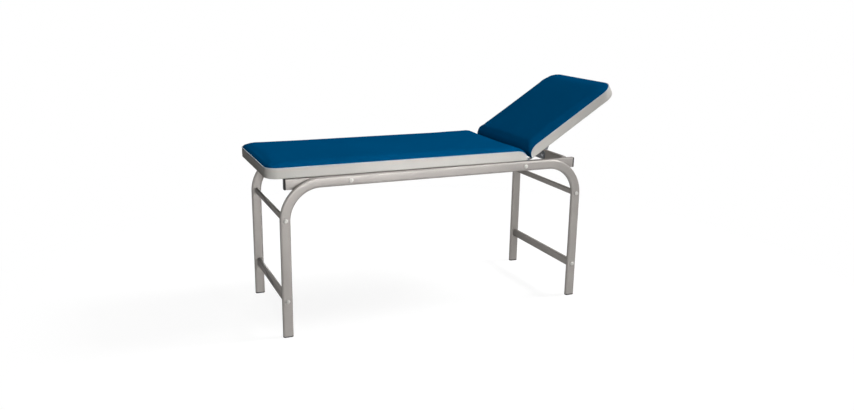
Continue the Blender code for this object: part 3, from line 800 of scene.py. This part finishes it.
class TABLE_OT_bolt_covers(bpy.types.Operator):
    """Mould the pale round covers over the bolts"""

    bl_idname = "exam_table.bolt_covers"
    bl_label = "Bolt covers"

    def execute(self, context):
        for side, out in SIDES.items():
            for end in ENDS:
                for place in ("upper", "lower", "rail"):
                    self.cover(f"{end}_{place}_{side}", out)
        for name, node in frame["nodes"].items():
            if name.startswith("bolt_") and not name.startswith("bolt_cap_"):
                cover_with(node, "zinc_steel")
        return {"FINISHED"}

    def cover(self, place, out):
        node = f"bolt_cap_{place}"
        box = Span(node)
        centre = (box.middle.x, end_of(node, 1, -out), box.middle.z)
        turn = (pi / 2, 0, 0)
        piece = disc(f"bolt_cover_{place}", sides=40, radius=box.size.x / 2, place=centre, turn=turn)
        pull((0, out * (box.size.y - sum(lift for inset, lift in COVER_DOME)), 0))
        for inset, lift in COVER_DOME:
            step_in(inset, (0, out * lift, 0))
        outward(piece)
        soften(piece, COVER_EDGE, angle=50.0)
        dress(piece, TABLE, "white_plastic", node)


# Fittings

SCREW_WALL = 0.55  # straight side of a screw head, as a share of its height
SCREW_DOME = ((0.22, 0.3), (0.3, 0.15))  # (inset, lift), as shares of its radius and height
SLOT_END = 0.12  # from the rim of a screw's flat top to the ends of its slot, as a share of its radius
SLOT_WIDTH = 0.45  # as a share of the slot's length
SLOT_DEPTH = 0.4  # as a share of the head's height
WASHER_RADIUS = 0.95  # as a share of the bolt's width
WASHER_HEIGHT = 0.28  # this and the next four as shares of the bolt's height
WASHER_EDGE = 0.08
BOLT_WALL = 0.9
BOLT_RISE = 0.1
BOLT_EDGE = 0.06
BOLT_BORDER = 0.07  # slope round the top of a bolt, as a share of its width
HINGE_SCREW_HEIGHT = 0.0011  # head of a hinge screw
HINGE_SCREWS = (0.030, 0.065)  # places of the screws along a hinge leaf, from the axis
HINGE_EDGE = 0.0003  # round on the edges of a hinge
LEAF_LOW = -0.0063  # underside of the moving leaf, from the axis
PROP_EDGE = 0.0004  # round on the edges of the prop's pieces
BOLT_MARGIN = 0.017  # from the saddle's sides to its bolts
BOLT_DROP = 0.001  # bolts below the middle of the crossbar
SADDLE_PLATE = 0.0033  # saddle's plate and its gap to the crossbar
GUIDE_PLATE = 0.003  # thickness of the guide where it lies on the board
GUIDE_SCREWS = (0.08, 0.36, 0.64, 0.92)  # places of the screws, as shares of the guide's length


def screw(name, radius, height):
    """Low round head with a slot across it, upright at the origin."""
    piece = disc(name, sides=24, radius=radius)
    pull((0, 0, height * SCREW_WALL))
    for inset, lift in SCREW_DOME:
        step_in(radius * inset, (0, 0, height * lift))
    bpy.ops.mesh.inset(thickness=radius * SLOT_END)
    bpy.ops.transform.resize(value=(1.0, SLOT_WIDTH, 1.0))
    pull((0, 0, -height * SLOT_DEPTH))
    outward(piece)
    smooth(piece, angle=35.0)
    return piece


def hex_bolt(name, across, height):
    """Six-sided head on a washer, upright at the origin."""
    washer = disc("washer", sides=32, radius=across * WASHER_RADIUS)
    pull((0, 0, height * WASHER_HEIGHT))
    outward(washer)
    soften(washer, height * WASHER_EDGE, angle=50.0)
    head = disc("head", sides=6, radius=across / sqrt(3), place=(0, 0, height * WASHER_HEIGHT))
    pull((0, 0, height * BOLT_WALL))
    step_in(across * BOLT_BORDER, (0, 0, height * BOLT_RISE))
    outward(head)
    soften(head, height * BOLT_EDGE, angle=20.0)
    return join([washer, head], name)


def standing(place, direction):
    """Matrix that stands an upright piece on a face."""
    return Matrix.Translation(place) @ Vector(direction).to_track_quat("Z", "Y").to_matrix().to_4x4()


def under_head(x, y, z):
    """Spot on the underside of the head section, along its own axes from the hinge, and its direction."""
    return HEAD_TURN @ Vector((x, y, z)), HEAD_TURN.to_3x3() @ Vector((0, 0, -1))


def fit(template, name, spots, body):
    """Copies of a fastener at several spots, joined into one piece."""
    piece = join([clone(template, name, standing(*spot)) for spot in spots], name)
    smooth(piece, angle=35.0)
    dress(piece, body, "zinc_steel")


def plated(node, name, body, edge):
    """Copy of a solid with round edges, in the darker zinc that paints the shade under the head pad."""
    piece = copy_of(node, name)
    soften(piece, edge, angle=35.0)
    dress(piece, body, "zinc_steel", node, look="dull_zinc")


class TABLE_OT_hinges(bpy.types.Operator):
    """Finish the strap hinges and screw them down"""

    bl_idname = "exam_table.hinges"
    bl_label = "Hinges"

    screw_radius: a_length("Screw", "Radius of a head", 0.004)

    def execute(self, context):
        template = screw("screw", self.screw_radius, HINGE_SCREW_HEIGHT)
        for side in SIDES:
            plated(f"hinge_fixed_leaf_{side}", f"hinge_strap_fixed_{side}", TABLE, HINGE_EDGE)
            plated(f"hinge_moving_leaf_{side}", f"hinge_strap_moving_{side}", HEAD, HINGE_EDGE)
            plated(f"hinge_pin_{side}", f"hinge_axle_{side}", TABLE, HINGE_EDGE)
            y = Span(f"hinge_fixed_leaf_{side}").middle.y
            spots = [under_head(x, y, LEAF_LOW) for x in HINGE_SCREWS]
            fit(template, f"hinge_screws_{side}", spots, HEAD)
        remove(template)
        return {"FINISHED"}


class TABLE_OT_head_prop(bpy.types.Operator):
    """Finish the prop: bracket, arm, pins and the slotted guide"""

    bl_idname = "exam_table.head_prop"
    bl_label = "Head prop"

    def execute(self, context):
        for node, name, body in (
            ("prop_bracket", "prop_saddle", TABLE),
            ("prop_arm", "prop_lever", PROP),
            ("prop_pivot_pin", "prop_axle", PROP),
            ("prop_cross_pin", "prop_slider", PROP),
            ("guide_channel", "prop_guide", HEAD),
        ):
            plated(node, name, body, PROP_EDGE)
        self.bolts()
        self.screws()
        return {"FINISHED"}

    def bolts(self):
        template = hex_bolt("bolt", across=0.010, height=0.005)
        saddle = Span("prop_bracket")
        crossbar = Span("bed_head_crossbar")
        z = crossbar.middle.z - BOLT_DROP
        spots = []
        for y in (saddle.low.y + BOLT_MARGIN, saddle.high.y - BOLT_MARGIN):
            spots.append(((saddle.low.x, y, z), (-1, 0, 0)))
            spots.append(((crossbar.high.x + SADDLE_PLATE, y, z), (1, 0, 0)))
        fit(template, "saddle_bolts", spots, TABLE)
        remove(template)

    def screws(self):
        template = screw("screw", radius=0.0042, height=0.0016)
        low, high = local_box("guide_channel", HEAD_TURN)
        places = [low.x + (high.x - low.x) * share for share in GUIDE_SCREWS]
        spots = [under_head(x, 0.0, high.z - GUIDE_PLATE) for x in places]
        fit(template, "guide_screws", spots, HEAD)
        remove(template)


# Pads

COVER_GAP = 0.0003  # between a cover and its board
COVER_FOLD = 0.0007  # thickness of a cover where it is turned under
COVER_TURN = (0.001, 0.0005)  # round of a cover at the board's lower edge: (along, up)
HEM_HALF = 0.262  # half width of a cover's hem at the hinge, between the hinge leaves
HINGE_HEM = 0.9  # that hem, as a share of the hem elsewhere
HINGE_HEM_LEAST = 0.0005  # hem at the hinge, over the leaves
NOSE_BLEND = 0.025  # from a pad's side to where its round end is full
NOSE_STEPS = 12  # facets in a cover's round end
NOSE_HELD = 3  # steps of the nose that are held still
EDGE_STEPS = 8  # facets in a cover's round edge
SEAM_HELD = 0.003  # cover held still this close to its seam
BAND_STEPS = 8  # facets in the height of a side band
BAND_FACE = -0.0012  # edges of a side band, from the outside of its pad
BAND_TURN = 0.0012  # height at which a side band turns under its board
BAND_FULLNESS = 0.7  # below 1 a band's bulge is flatter in the middle
BAND_BACK = 0.0034  # back of a side band and its play, from the outside of its pad
LEAF_HEM = 0.0002  # hem beside a hinge leaf, which lies on the board
LEAF_STEP = 0.0002  # half the length of the step between that hem and the full one
WELT_BACK = 0.28  # middle of the welt inside the pad's outline, as a share of its thickness
WELT_FORWARD = 0.0006  # welt in front of the noses
WELT_RISE = 0.0004  # middle of the welt above the band's edge
STAPLE_SIZE = (0.0115, 0.0011, 0.0007)  # length, width, thickness
STAPLE_EDGE = 0.00025  # bevel along a staple
STAPLE_LINE = 0.6  # share of the hem's width at which it is stapled
STAPLE_HEIGHT = -0.0012  # middle of a staple, from the board's underside
STAPLES_PAST_LEAF = 0.01  # first place for staples on the head pad, from the end of its hinge leaf
STAPLES_FROM_HINGE = 0.03  # first place for staples on the seat, from its end at the hinge
TANGENT_STEP = 0.01  # along the seam, for the direction of a staple


class Pad:
    """Plan and heights of one pad, from its end at the hinge (0) to its outer end."""

    def __init__(self, name, body, turn, low, high, flip):
        self.name = name
        self.body = body
        self.turn = turn
        self.low = low
        self.flip = flip
        self.start = high.x if flip else low.x
        self.length = high.x - low.x
        self.half = PAD_HALF
        self.corner = pads().corner if flip else pads().head_corner
        self.full_nose = pads().nose if flip else pads().head_nose

    def at(self, d, y, h):
        """Place of a point: distance from the hinge end, across, and height above the board's underside."""
        x = self.start - d if self.flip else self.start + d
        return self.turn @ Vector((x, y, self.low.z + h))

    def reach(self, y, inset):
        """Length of the pad at this distance from its middle line."""
        corner = self.corner - inset
        beyond = abs(y) - (self.half - inset - corner)
        if beyond <= 0:
            return self.length - inset
        return self.length - inset - corner + sqrt(max(corner**2 - beyond**2, 0.0))

    def edge_distance(self, d, y, inset):
        """Distance in from the seam, which runs along both sides and the outer end."""
        corner = self.corner - inset
        across = abs(y) - (self.half - inset - corner)
        along = d - (self.length - inset - corner)
        if across > 0 and along > 0:
            return corner - hypot(across, along)
        return min(corner - across, corner - along)

    def top(self, d, y, inset):
        """Height of the cover: round at the seam, with a slight crown."""
        settings = pads()
        into = min(max(self.edge_distance(d, y, inset) / settings.shoulder, 0.0), 1.0)
        fall = settings.drop * (1 - sqrt(1 - (1 - into) ** 2))
        crown = settings.crown * (1 - (y / self.half) ** 2) * (1 - abs(2 * d / self.length - 1) ** 4)
        return BAND_HEIGHT + settings.rise + crown - fall

    def rim(self, outset, nose_steps=16, corner_steps=14, step=0.04):
        """Path of the seam and the side band: (d, y, outward angle, height of the band)."""
        settings = pads()
        path = []
        for k in range(nose_steps + 1):
            angle = pi / 2 * k / nose_steps
            d = settings.nose * (1 - cos(angle))
            height = BAND_HEIGHT - settings.nose_drop * (1 - sin(angle))
            path.append((d, self.half + outset, pi / 2, height))
        straight = self.length - self.corner - settings.nose
        count = int(straight / step)
        for k in range(1, count):
            path.append((settings.nose + straight * k / count, self.half + outset, pi / 2, BAND_HEIGHT))
        for k in range(corner_steps + 1):
            angle = pi / 2 * (1 - k / corner_steps)
            radius = self.corner + outset
            d = self.length - self.corner + radius * cos(angle)
            path.append((d, self.half - self.corner + radius * sin(angle), angle, BAND_HEIGHT))
        across = 2 * (self.half - self.corner)
        count = int(across / step)
        near = [(d, -y, -angle, height) for d, y, angle, height in path]
        end = [
            (self.length + outset, -across / 2 + across * k / count, 0.0, BAND_HEIGHT)
            for k in range(1, count)
        ]
        return near + end + path[::-1]


def loft(name, rings):
    """Closed body skinned over rings of points."""
    shape = bmesh.new()
    rows = [[shape.verts.new(point) for point in ring] for ring in rings]
    for first, second in zip(rows, rows[1:]):
        for k in range(len(first)):
            after = (k + 1) % len(first)
            shape.faces.new((first[k], first[after], second[after], second[k]))
    shape.faces.new(rows[0])
    shape.faces.new(rows[-1][::-1])
    bmesh.ops.recalc_face_normals(shape, faces=shape.faces)
    mesh = bpy.data.meshes.new(name)
    shape.to_mesh(mesh)
    shape.free()
    piece = bpy.data.objects.new(name, mesh)
    bpy.context.scene.collection.objects.link(piece)
    return piece


def both_pads():
    return (
        Pad("seat", TABLE, STILL, *SEAT_BAND, True),
        Pad("head", HEAD, HEAD_TURN, *HEAD_BAND, False),
    )


class TABLE_OT_covers(bpy.types.Operator):
    """Upholster the pads: foam in a blue cover that is drawn over the nose and under the board"""

    bl_idname = "exam_table.covers"
    bl_label = "Covers"

    skin: a_length("Skin", "Cover over the board's end", 0.0012)
    inset: a_length("Inset", "Foam behind the band", 0.0034)

    def execute(self, context):
        for pad in both_pads():
            piece, free = self.shape(pad)
            self.swell(piece, free)
            smooth(piece, angle=50.0)
            dress(piece, pad.body, "blue_vinyl", f"{pad.name}_cushion")
        return {"FINISHED"}

    def stations(self, pad):
        """Places across the pad, closer together near the edges."""
        settings = pads()
        half = pad.half - self.inset
        flat = half - settings.shoulder
        count = int(2 * flat / settings.mesh_step)
        edge = [half - settings.shoulder * (1 - cos(pi / 2 * k / EDGE_STEPS)) for k in range(EDGE_STEPS)]
        middle = [flat - 2 * flat * k / count for k in range(count + 1)]
        return edge + middle + [-y for y in edge[::-1]]

    def section(self, pad, y):
        """Points round the pad at one place across it, and whether each is free to move."""
        settings = pads()
        end = pad.reach(y, self.inset)
        hem = settings.hem * HINGE_HEM if abs(y) < HEM_HALF else HINGE_HEM_LEAST
        low = BOARD_TOP + COVER_GAP
        under = -COVER_GAP - COVER_FOLD
        points = [(end * share, low) for share in (1.0, 0.66, 0.33, 0.0)]
        points += [(0.0, -COVER_GAP), (hem, -COVER_GAP), (hem, under)]
        points += [(COVER_TURN[0] - self.skin, under), (-self.skin, COVER_TURN[1])]
        free = [False] * len(points)
        full = min((pad.half - self.inset - abs(y)) / NOSE_BLEND, 1.0)
        nose = settings.nose + (pad.full_nose - settings.nose) * full**2 * (3 - 2 * full)
        peak = pad.top(nose, y, self.inset)
        for k in range(NOSE_STEPS + 1):
            angle = pi / 2 * k / NOSE_STEPS
            d = -self.skin + (nose + self.skin) * (1 - cos(angle))
            points.append((d, peak - settings.nose_drop * (1 - sin(angle))))
            free.append(k > NOSE_HELD)
        straight = end - settings.shoulder - nose
        count = int((pad.length - settings.shoulder - settings.nose) / settings.mesh_step)
        tops = [nose + straight * k / count for k in range(1, count + 1)]
        for k in range(1, EDGE_STEPS + 1):
            tops.append(end - settings.shoulder * (1 - sin(pi / 2 * k / EDGE_STEPS)))
        for d in tops:
            points.append((d, pad.top(d, y, self.inset)))
            free.append(True)
        for k, (d, _) in enumerate(points):
            if pad.edge_distance(d, y, self.inset) < SEAM_HELD:
                free[k] = False
        return points, free

    def shape(self, pad):
        rings = []
        free = []
        for y in self.stations(pad):
            points, loose = self.section(pad, y)
            rings.append([pad.at(d, y, h) for d, h in points])
            free += loose
        return loft(f"{pad.name}_cover", rings), free

    def swell(self, piece, free):
        """Press the foam against the cover with a short cloth simulation, and limit how far it moves."""
        settings = pads()
        scene = bpy.context.scene
        before = [vertex.co.copy() for vertex in piece.data.vertices]
        held = piece.vertex_groups.new(name="held")
        held.add([k for k, loose in enumerate(free) if not loose], 1.0, "REPLACE")
        change = piece.modifiers.new("Foam", "CLOTH")
        change.settings.vertex_group_mass = "held"
        change.settings.use_pressure = True
        change.settings.uniform_pressure_force = settings.pressure
        change.settings.effector_weights.gravity = 0.0
        change.point_cache.frame_start = 1
        change.point_cache.frame_end = settings.frames
        for number in range(1, settings.frames + 1):
            scene.frame_set(number)
        apply_modifiers(piece)
        scene.frame_set(1)
        for vertex, place in zip(piece.data.vertices, before):
            move = vertex.co - place
            far = move.length
            if far > 0:
                vertex.co = place + move * (settings.swell * tanh(far / settings.swell) / far)
        piece.vertex_groups.clear()


class TABLE_OT_bands(bpy.types.Operator):
    """Sew the pale side bands, their welt and the stapled hem"""

    bl_idname = "exam_table.bands"
    bl_label = "Side bands"

    leaf_reach: a_length("Leaf reach", "Hinge leaf under the head board", 0.072)

    def execute(self, context):
        template = self.staple()
        for pad in both_pads():
            self.band(pad)
            self.welt(pad)
            self.staples(pad, template)
        remove(template)
        return {"FINISHED"}

    def section(self, height, hem):
        """Closed outline of the band: (outwards, height), with its lower edge turned under the board."""
        bulge = pads().band_bulge
        outer = []
        for k in range(BAND_STEPS + 1):
            level = k / BAND_STEPS
            out = BAND_FACE + bulge * sin(pi * level) ** BAND_FULLNESS
            outer.append((out, height * (1 - level) + BAND_TURN * level))
        tuck = -BAND_BACK - hem
        under = [(-0.0020, 0.0), (-0.0032, -0.0008), (tuck, -0.0010), (tuck, -0.0004)]
        inner = [(-0.0032, -0.0003), (-0.0031, 0.002), (-0.0031, height)]
        return outer + under + inner

    def hem_at(self, pad, d):
        if pad.name == "head" and d < self.leaf_reach:
            return LEAF_HEM
        return pads().hem

    def split_at_leaf(self, pad, path):
        """The path with a step on each side, where the hem begins past the hinge leaf."""
        places = (self.leaf_reach - LEAF_STEP, self.leaf_reach + LEAF_STEP)
        sides = []
        for way in (-1, 1):
            extra = [(d, way * pad.half, way * pi / 2, BAND_HEIGHT) for d in places]
            side = [point for point in path + extra if point[2] == way * pi / 2]
            sides.append(sorted(side, key=lambda point: -way * point[0]))
        return sides[0] + [point for point in path if abs(point[2]) < pi / 2] + sides[1]

    def band(self, pad):
        path = pad.rim(0.0)
        if pad.name == "head":
            path = self.split_at_leaf(pad, path)
        rings = []
        for d, y, angle, height in path:
            outline = self.section(height, self.hem_at(pad, d))
            rings.append([pad.at(d + out * cos(angle), y + out * sin(angle), h) for out, h in outline])
        piece = loft(f"{pad.name}_side_band", rings)
        smooth(piece, angle=50.0)
        dress(piece, pad.body, "beige_vinyl", f"{pad.name}_band")

    def welt(self, pad):
        """Cord along the seam, down over the noses at the hinge; its pale bluish colour is a painted
        highlight on the band's fold.
        """
        settings = pads()
        path = pad.rim(-settings.welt * WELT_BACK)
        (start_d, start_y, _, start_height), (end_d, end_y, _, end_height) = path[0], path[-1]
        line = [(start_d - WELT_FORWARD, start_y, start_height * share) for share in (0.3, 0.7)]
        for d, y, _, height in path:
            line.append((d - WELT_FORWARD * (height < BAND_HEIGHT), y, height + WELT_RISE))
        line += [(end_d - WELT_FORWARD, end_y, end_height * share) for share in (0.7, 0.3)]
        curve = bpy.data.curves.new("welt", "CURVE")
        curve.dimensions = "3D"
        curve.bevel_depth = settings.welt / 2
        curve.bevel_resolution = 3
        curve.use_fill_caps = True
        spline = curve.splines.new("POLY")
        spline.points.add(len(line) - 1)
        for point, (d, y, h) in zip(spline.points, line):
            point.co = (*pad.at(d, y, h), 1.0)
        piece = bpy.data.objects.new(f"{pad.name}_welt", curve)
        bpy.context.scene.collection.objects.link(piece)
        begin(piece)
        bpy.ops.object.convert(target="MESH")
        piece = bpy.context.object
        outward(piece)
        smooth(piece, angle=60.0)
        dress(piece, pad.body, "beige_vinyl", look="welt_vinyl")

    def staple(self):
        begin()
        bpy.ops.mesh.primitive_cube_add(size=1.0)
        piece = bpy.context.object
        piece.scale = STAPLE_SIZE
        settle(piece)
        edit(piece)
        half = STAPLE_SIZE[0] / 2
        pick_edges(piece, lambda edge: abs(edge.verts[0].co.x - edge.verts[1].co.x) < half)
        bpy.ops.mesh.bevel(offset=STAPLE_EDGE, segments=1)
        outward(piece)
        return piece

    def staples(self, pad, template):
        settings = pads()
        start = self.leaf_reach + STAPLES_PAST_LEAF if pad.name == "head" else STAPLES_FROM_HINGE
        line = pad.rim(-BAND_BACK - settings.hem * STAPLE_LINE)
        path = [point for point in line if point[0] > start]
        spots = []
        gone = settings.staple_step / 2
        for (d, y, angle, _), (next_d, next_y, next_angle, _) in zip(path, path[1:]):
            length = hypot(next_d - d, next_y - y)
            while length > 0 and gone <= length:
                share = gone / length
                turn = angle + (next_angle - angle) * share
                spots.append((d + (next_d - d) * share, y + (next_y - y) * share, turn))
                gone += settings.staple_step
            gone -= length
        pieces = []
        normal = pad.turn.to_3x3() @ Vector((0, 0, 1))
        for d, y, angle in spots:
            ahead = pad.at(d - TANGENT_STEP * sin(angle), y + TANGENT_STEP * cos(angle), 0)
            tangent = ahead - pad.at(d, y, 0)
            turn = Matrix((tangent.normalized(), normal.cross(tangent).normalized(), normal)).transposed()
            place = Matrix.Translation(pad.at(d, y, STAPLE_HEIGHT)) @ turn.to_4x4()
            pieces.append(clone(template, "staple", place))
        piece = join(pieces, f"{pad.name}_staples")
        smooth(piece, angle=40.0)
        dress(piece, pad.body, "zinc_steel")


class TABLE_OT_boards(bpy.types.Operator):
    """Give the plywood boards their veneer"""

    bl_idname = "exam_table.boards"
    bl_label = "Boards"

    def execute(self, context):
        for name in ("seat", "head"):
            cover_with(frame["nodes"][f"{name}_board"], f"{name}_ply")
        return {"FINISHED"}


# Stage

FLOOR_GREY = (0.15, 0.15, 0.15, 1.0)  # what the floor throws back on the table
FLOOR_PALE = (0.16, 0.16, 0.16, 1.0)  # share of the floor's white that takes a shadow
FLOOR_GLOW = 0.88  # share of the floor's white that no shadow takes
FLOOR_FADE = (1.2, 2.4)  # distances from the middle between which the floor turns plain white


class TABLE_OT_stage(bpy.types.Operator):
    """Set the pale floor, the lights and the camera"""

    bl_idname = "exam_table.stage"
    bl_label = "Stage"

    floor_size: a_length("Floor", "Side of the floor", 60.0)

    def execute(self, context):
        self.floor()
        self.world(context.scene)
        stage = context.scene.table_stage
        for lamp in (  # name, power, size, place, target, beam
            ("Overhead softbox", stage.overhead, 3.0, (7.3, -1.5, 7.8), (0.0, 0.0, 0.8), pi),
            ("Front softbox", stage.front, 0.8, (0.5, -4.9, 1.1), (-0.15, 0.0, 0.29), stage.front_spread),
            ("Fill softbox", stage.fill, 1.0, (-1.4, -3.7, 1.2), (0.0, 0.0, 0.7), pi),
            ("Side softbox", stage.side, 1.6, (-1.25, 0.8, 4.6), (0.4, 0.0, 0.8), pi),
            ("Back softbox", stage.behind, 2.2, (1.0, 6.5, 0.75), (0.0, 0.0, 0.7), pi),
        ):
            self.lamp(*lamp)
        self.camera(context.scene)
        context.scene.view_settings.view_transform = "Standard"
        return {"FINISHED"}

    def seen(self, tree):
        """1 for rays from the camera, and for mirror and glass rays that show the background."""
        path = tree.nodes.new("ShaderNodeLightPath")
        first = maths(tree, "MAXIMUM", path.outputs["Is Camera Ray"], path.outputs["Is Glossy Ray"])
        return maths(tree, "MAXIMUM", first, path.outputs["Is Transmission Ray"])

    def shader(self, tree, kind, **values):
        node = tree.nodes.new(kind)
        for label, value in values.items():
            node.inputs[label].default_value = value
        return node.outputs[0]

    def mix(self, tree, factor, first, second):
        node = tree.nodes.new("ShaderNodeMixShader")
        for socket, value in zip(node.inputs, (factor, first, second)):
            tree.links.new(value, socket)
        return node.outputs[0]

    def floor(self):
        """White to the camera with a soft shadow, dim to the table, and clear from below."""
        begin()
        bpy.ops.mesh.primitive_plane_add(size=self.floor_size)
        floor = bpy.context.object
        floor.name = "studio_floor"
        material = bpy.data.materials.new("studio_floor")
        material.use_nodes = True
        tree = material.node_tree
        tree.nodes.clear()
        near = tree.nodes.new("ShaderNodeAddShader")
        tree.links.new(self.shader(tree, "ShaderNodeBsdfDiffuse", Color=FLOOR_PALE), near.inputs[0])
        tree.links.new(self.shader(tree, "ShaderNodeEmission", Strength=FLOOR_GLOW), near.inputs[1])
        place = tree.nodes.new("ShaderNodeTexCoord")
        distance = tree.nodes.new("ShaderNodeVectorMath")
        distance.operation = "LENGTH"
        tree.links.new(place.outputs["Object"], distance.inputs[0])
        fade = spread(tree, distance.outputs["Value"], *FLOOR_FADE, 0.0, 1.0)
        far = self.shader(tree, "ShaderNodeEmission", Strength=1.0)
        white = self.mix(tree, fade, near.outputs[0], far)
        dim = self.shader(tree, "ShaderNodeBsdfDiffuse", Color=FLOOR_GREY)
        above = self.mix(tree, self.seen(tree), dim, white)
        below = self.shader(tree, "ShaderNodeBsdfTransparent")
        facing = tree.nodes.new("ShaderNodeNewGeometry").outputs["Backfacing"]
        output = tree.nodes.new("ShaderNodeOutputMaterial")
        tree.links.new(self.mix(tree, facing, above, below), output.inputs["Surface"])
        floor.data.materials.append(material)

    def world(self, scene):
        world = bpy.data.worlds.new("studio")
        world.use_nodes = True
        tree = world.node_tree
        background = tree.nodes["Background"]
        background.inputs["Color"].default_value = (1.0, 1.0, 1.0, 1.0)
        level = spread(tree, self.seen(tree), 0.0, 1.0, scene.table_stage.ambient, 1.0)
        tree.links.new(level, background.inputs["Strength"])
        scene.world = world

    def lamp(self, name, power, size, place, target, beam):
        data = bpy.data.lights.new(name, "AREA")
        data.energy = power
        data.shape = "DISK"
        data.size = size
        data.spread = beam
        lamp = bpy.data.objects.new(name, data)
        lamp.location = place
        aim = Vector(target) - Vector(place)
        lamp.rotation_euler = aim.to_track_quat("-Z", "Y").to_euler()
        bpy.context.scene.collection.objects.link(lamp)

    def camera(self, scene):
        stage = scene.table_stage
        around, lift, roll = stage.azimuth, stage.elevation, stage.roll
        back = Vector((sin(around) * cos(lift), -cos(around) * cos(lift), sin(lift)))
        level = Vector((cos(around), sin(around), 0.0))
        above = back.cross(level)
        right = level * cos(roll) + above * sin(roll)
        up = above * cos(roll) - level * sin(roll)
        data = bpy.data.cameras.new("Camera")
        data.sensor_fit = "HORIZONTAL"
        data.sensor_width = 36.0
        data.lens = stage.lens
        camera = bpy.data.objects.new("Camera", data)
        turn = Matrix((right, up, back)).transposed().to_4x4()
        camera.matrix_world = Matrix.Translation(stage.camera) @ turn
        scene.collection.objects.link(camera)
        scene.camera = camera


class TABLE_PT_panel(bpy.types.Panel):
    """Sizes, colours and steps of the table"""

    bl_label = "Examination table"
    bl_idname = "TABLE_PT_panel"
    bl_space_type = "VIEW_3D"
    bl_region_type = "UI"
    bl_category = "Table"

    def draw(self, context):
        for step in STEPS:
            self.layout.operator(step.bl_idname)
        for name in SETTINGS:
            box = self.layout.box()
            settings = getattr(context.scene, name)
            for key in settings.__annotations__:
                box.prop(settings, key)


STEPS = (
    TABLE_OT_side_tubes,
    TABLE_OT_leg_bars,
    TABLE_OT_bed_frame,
    TABLE_OT_feet_and_plugs,
    TABLE_OT_bolt_covers,
    TABLE_OT_hinges,
    TABLE_OT_head_prop,
    TABLE_OT_covers,
    TABLE_OT_bands,
    TABLE_OT_boards,
    TABLE_OT_stage,
)
SETTINGS = {"table_pads": PadSettings, "table_frame": FrameSettings, "table_stage": StageSettings}


def register():
    for kind in (*SETTINGS.values(), *STEPS, TABLE_PT_panel):
        bpy.utils.register_class(kind)
    for name, kind in SETTINGS.items():
        setattr(bpy.types.Scene, name, PointerProperty(type=kind))


def unregister():
    for name in SETTINGS:
        delattr(bpy.types.Scene, name)
    for kind in reversed((*SETTINGS.values(), *STEPS, TABLE_PT_panel)):
        bpy.utils.unregister_class(kind)


def main():
    register()
    bpy.ops.exam_table.side_tubes()
    bpy.ops.exam_table.leg_bars()
    bpy.ops.exam_table.bed_frame()
    bpy.ops.exam_table.feet_and_plugs()
    bpy.ops.exam_table.bolt_covers()
    bpy.ops.exam_table.hinges()
    bpy.ops.exam_table.head_prop()
    bpy.ops.exam_table.covers()
    bpy.ops.exam_table.bands()
    bpy.ops.exam_table.boards()
    bpy.ops.exam_table.stage()
    begin()


if __name__ == "__main__":
    main()
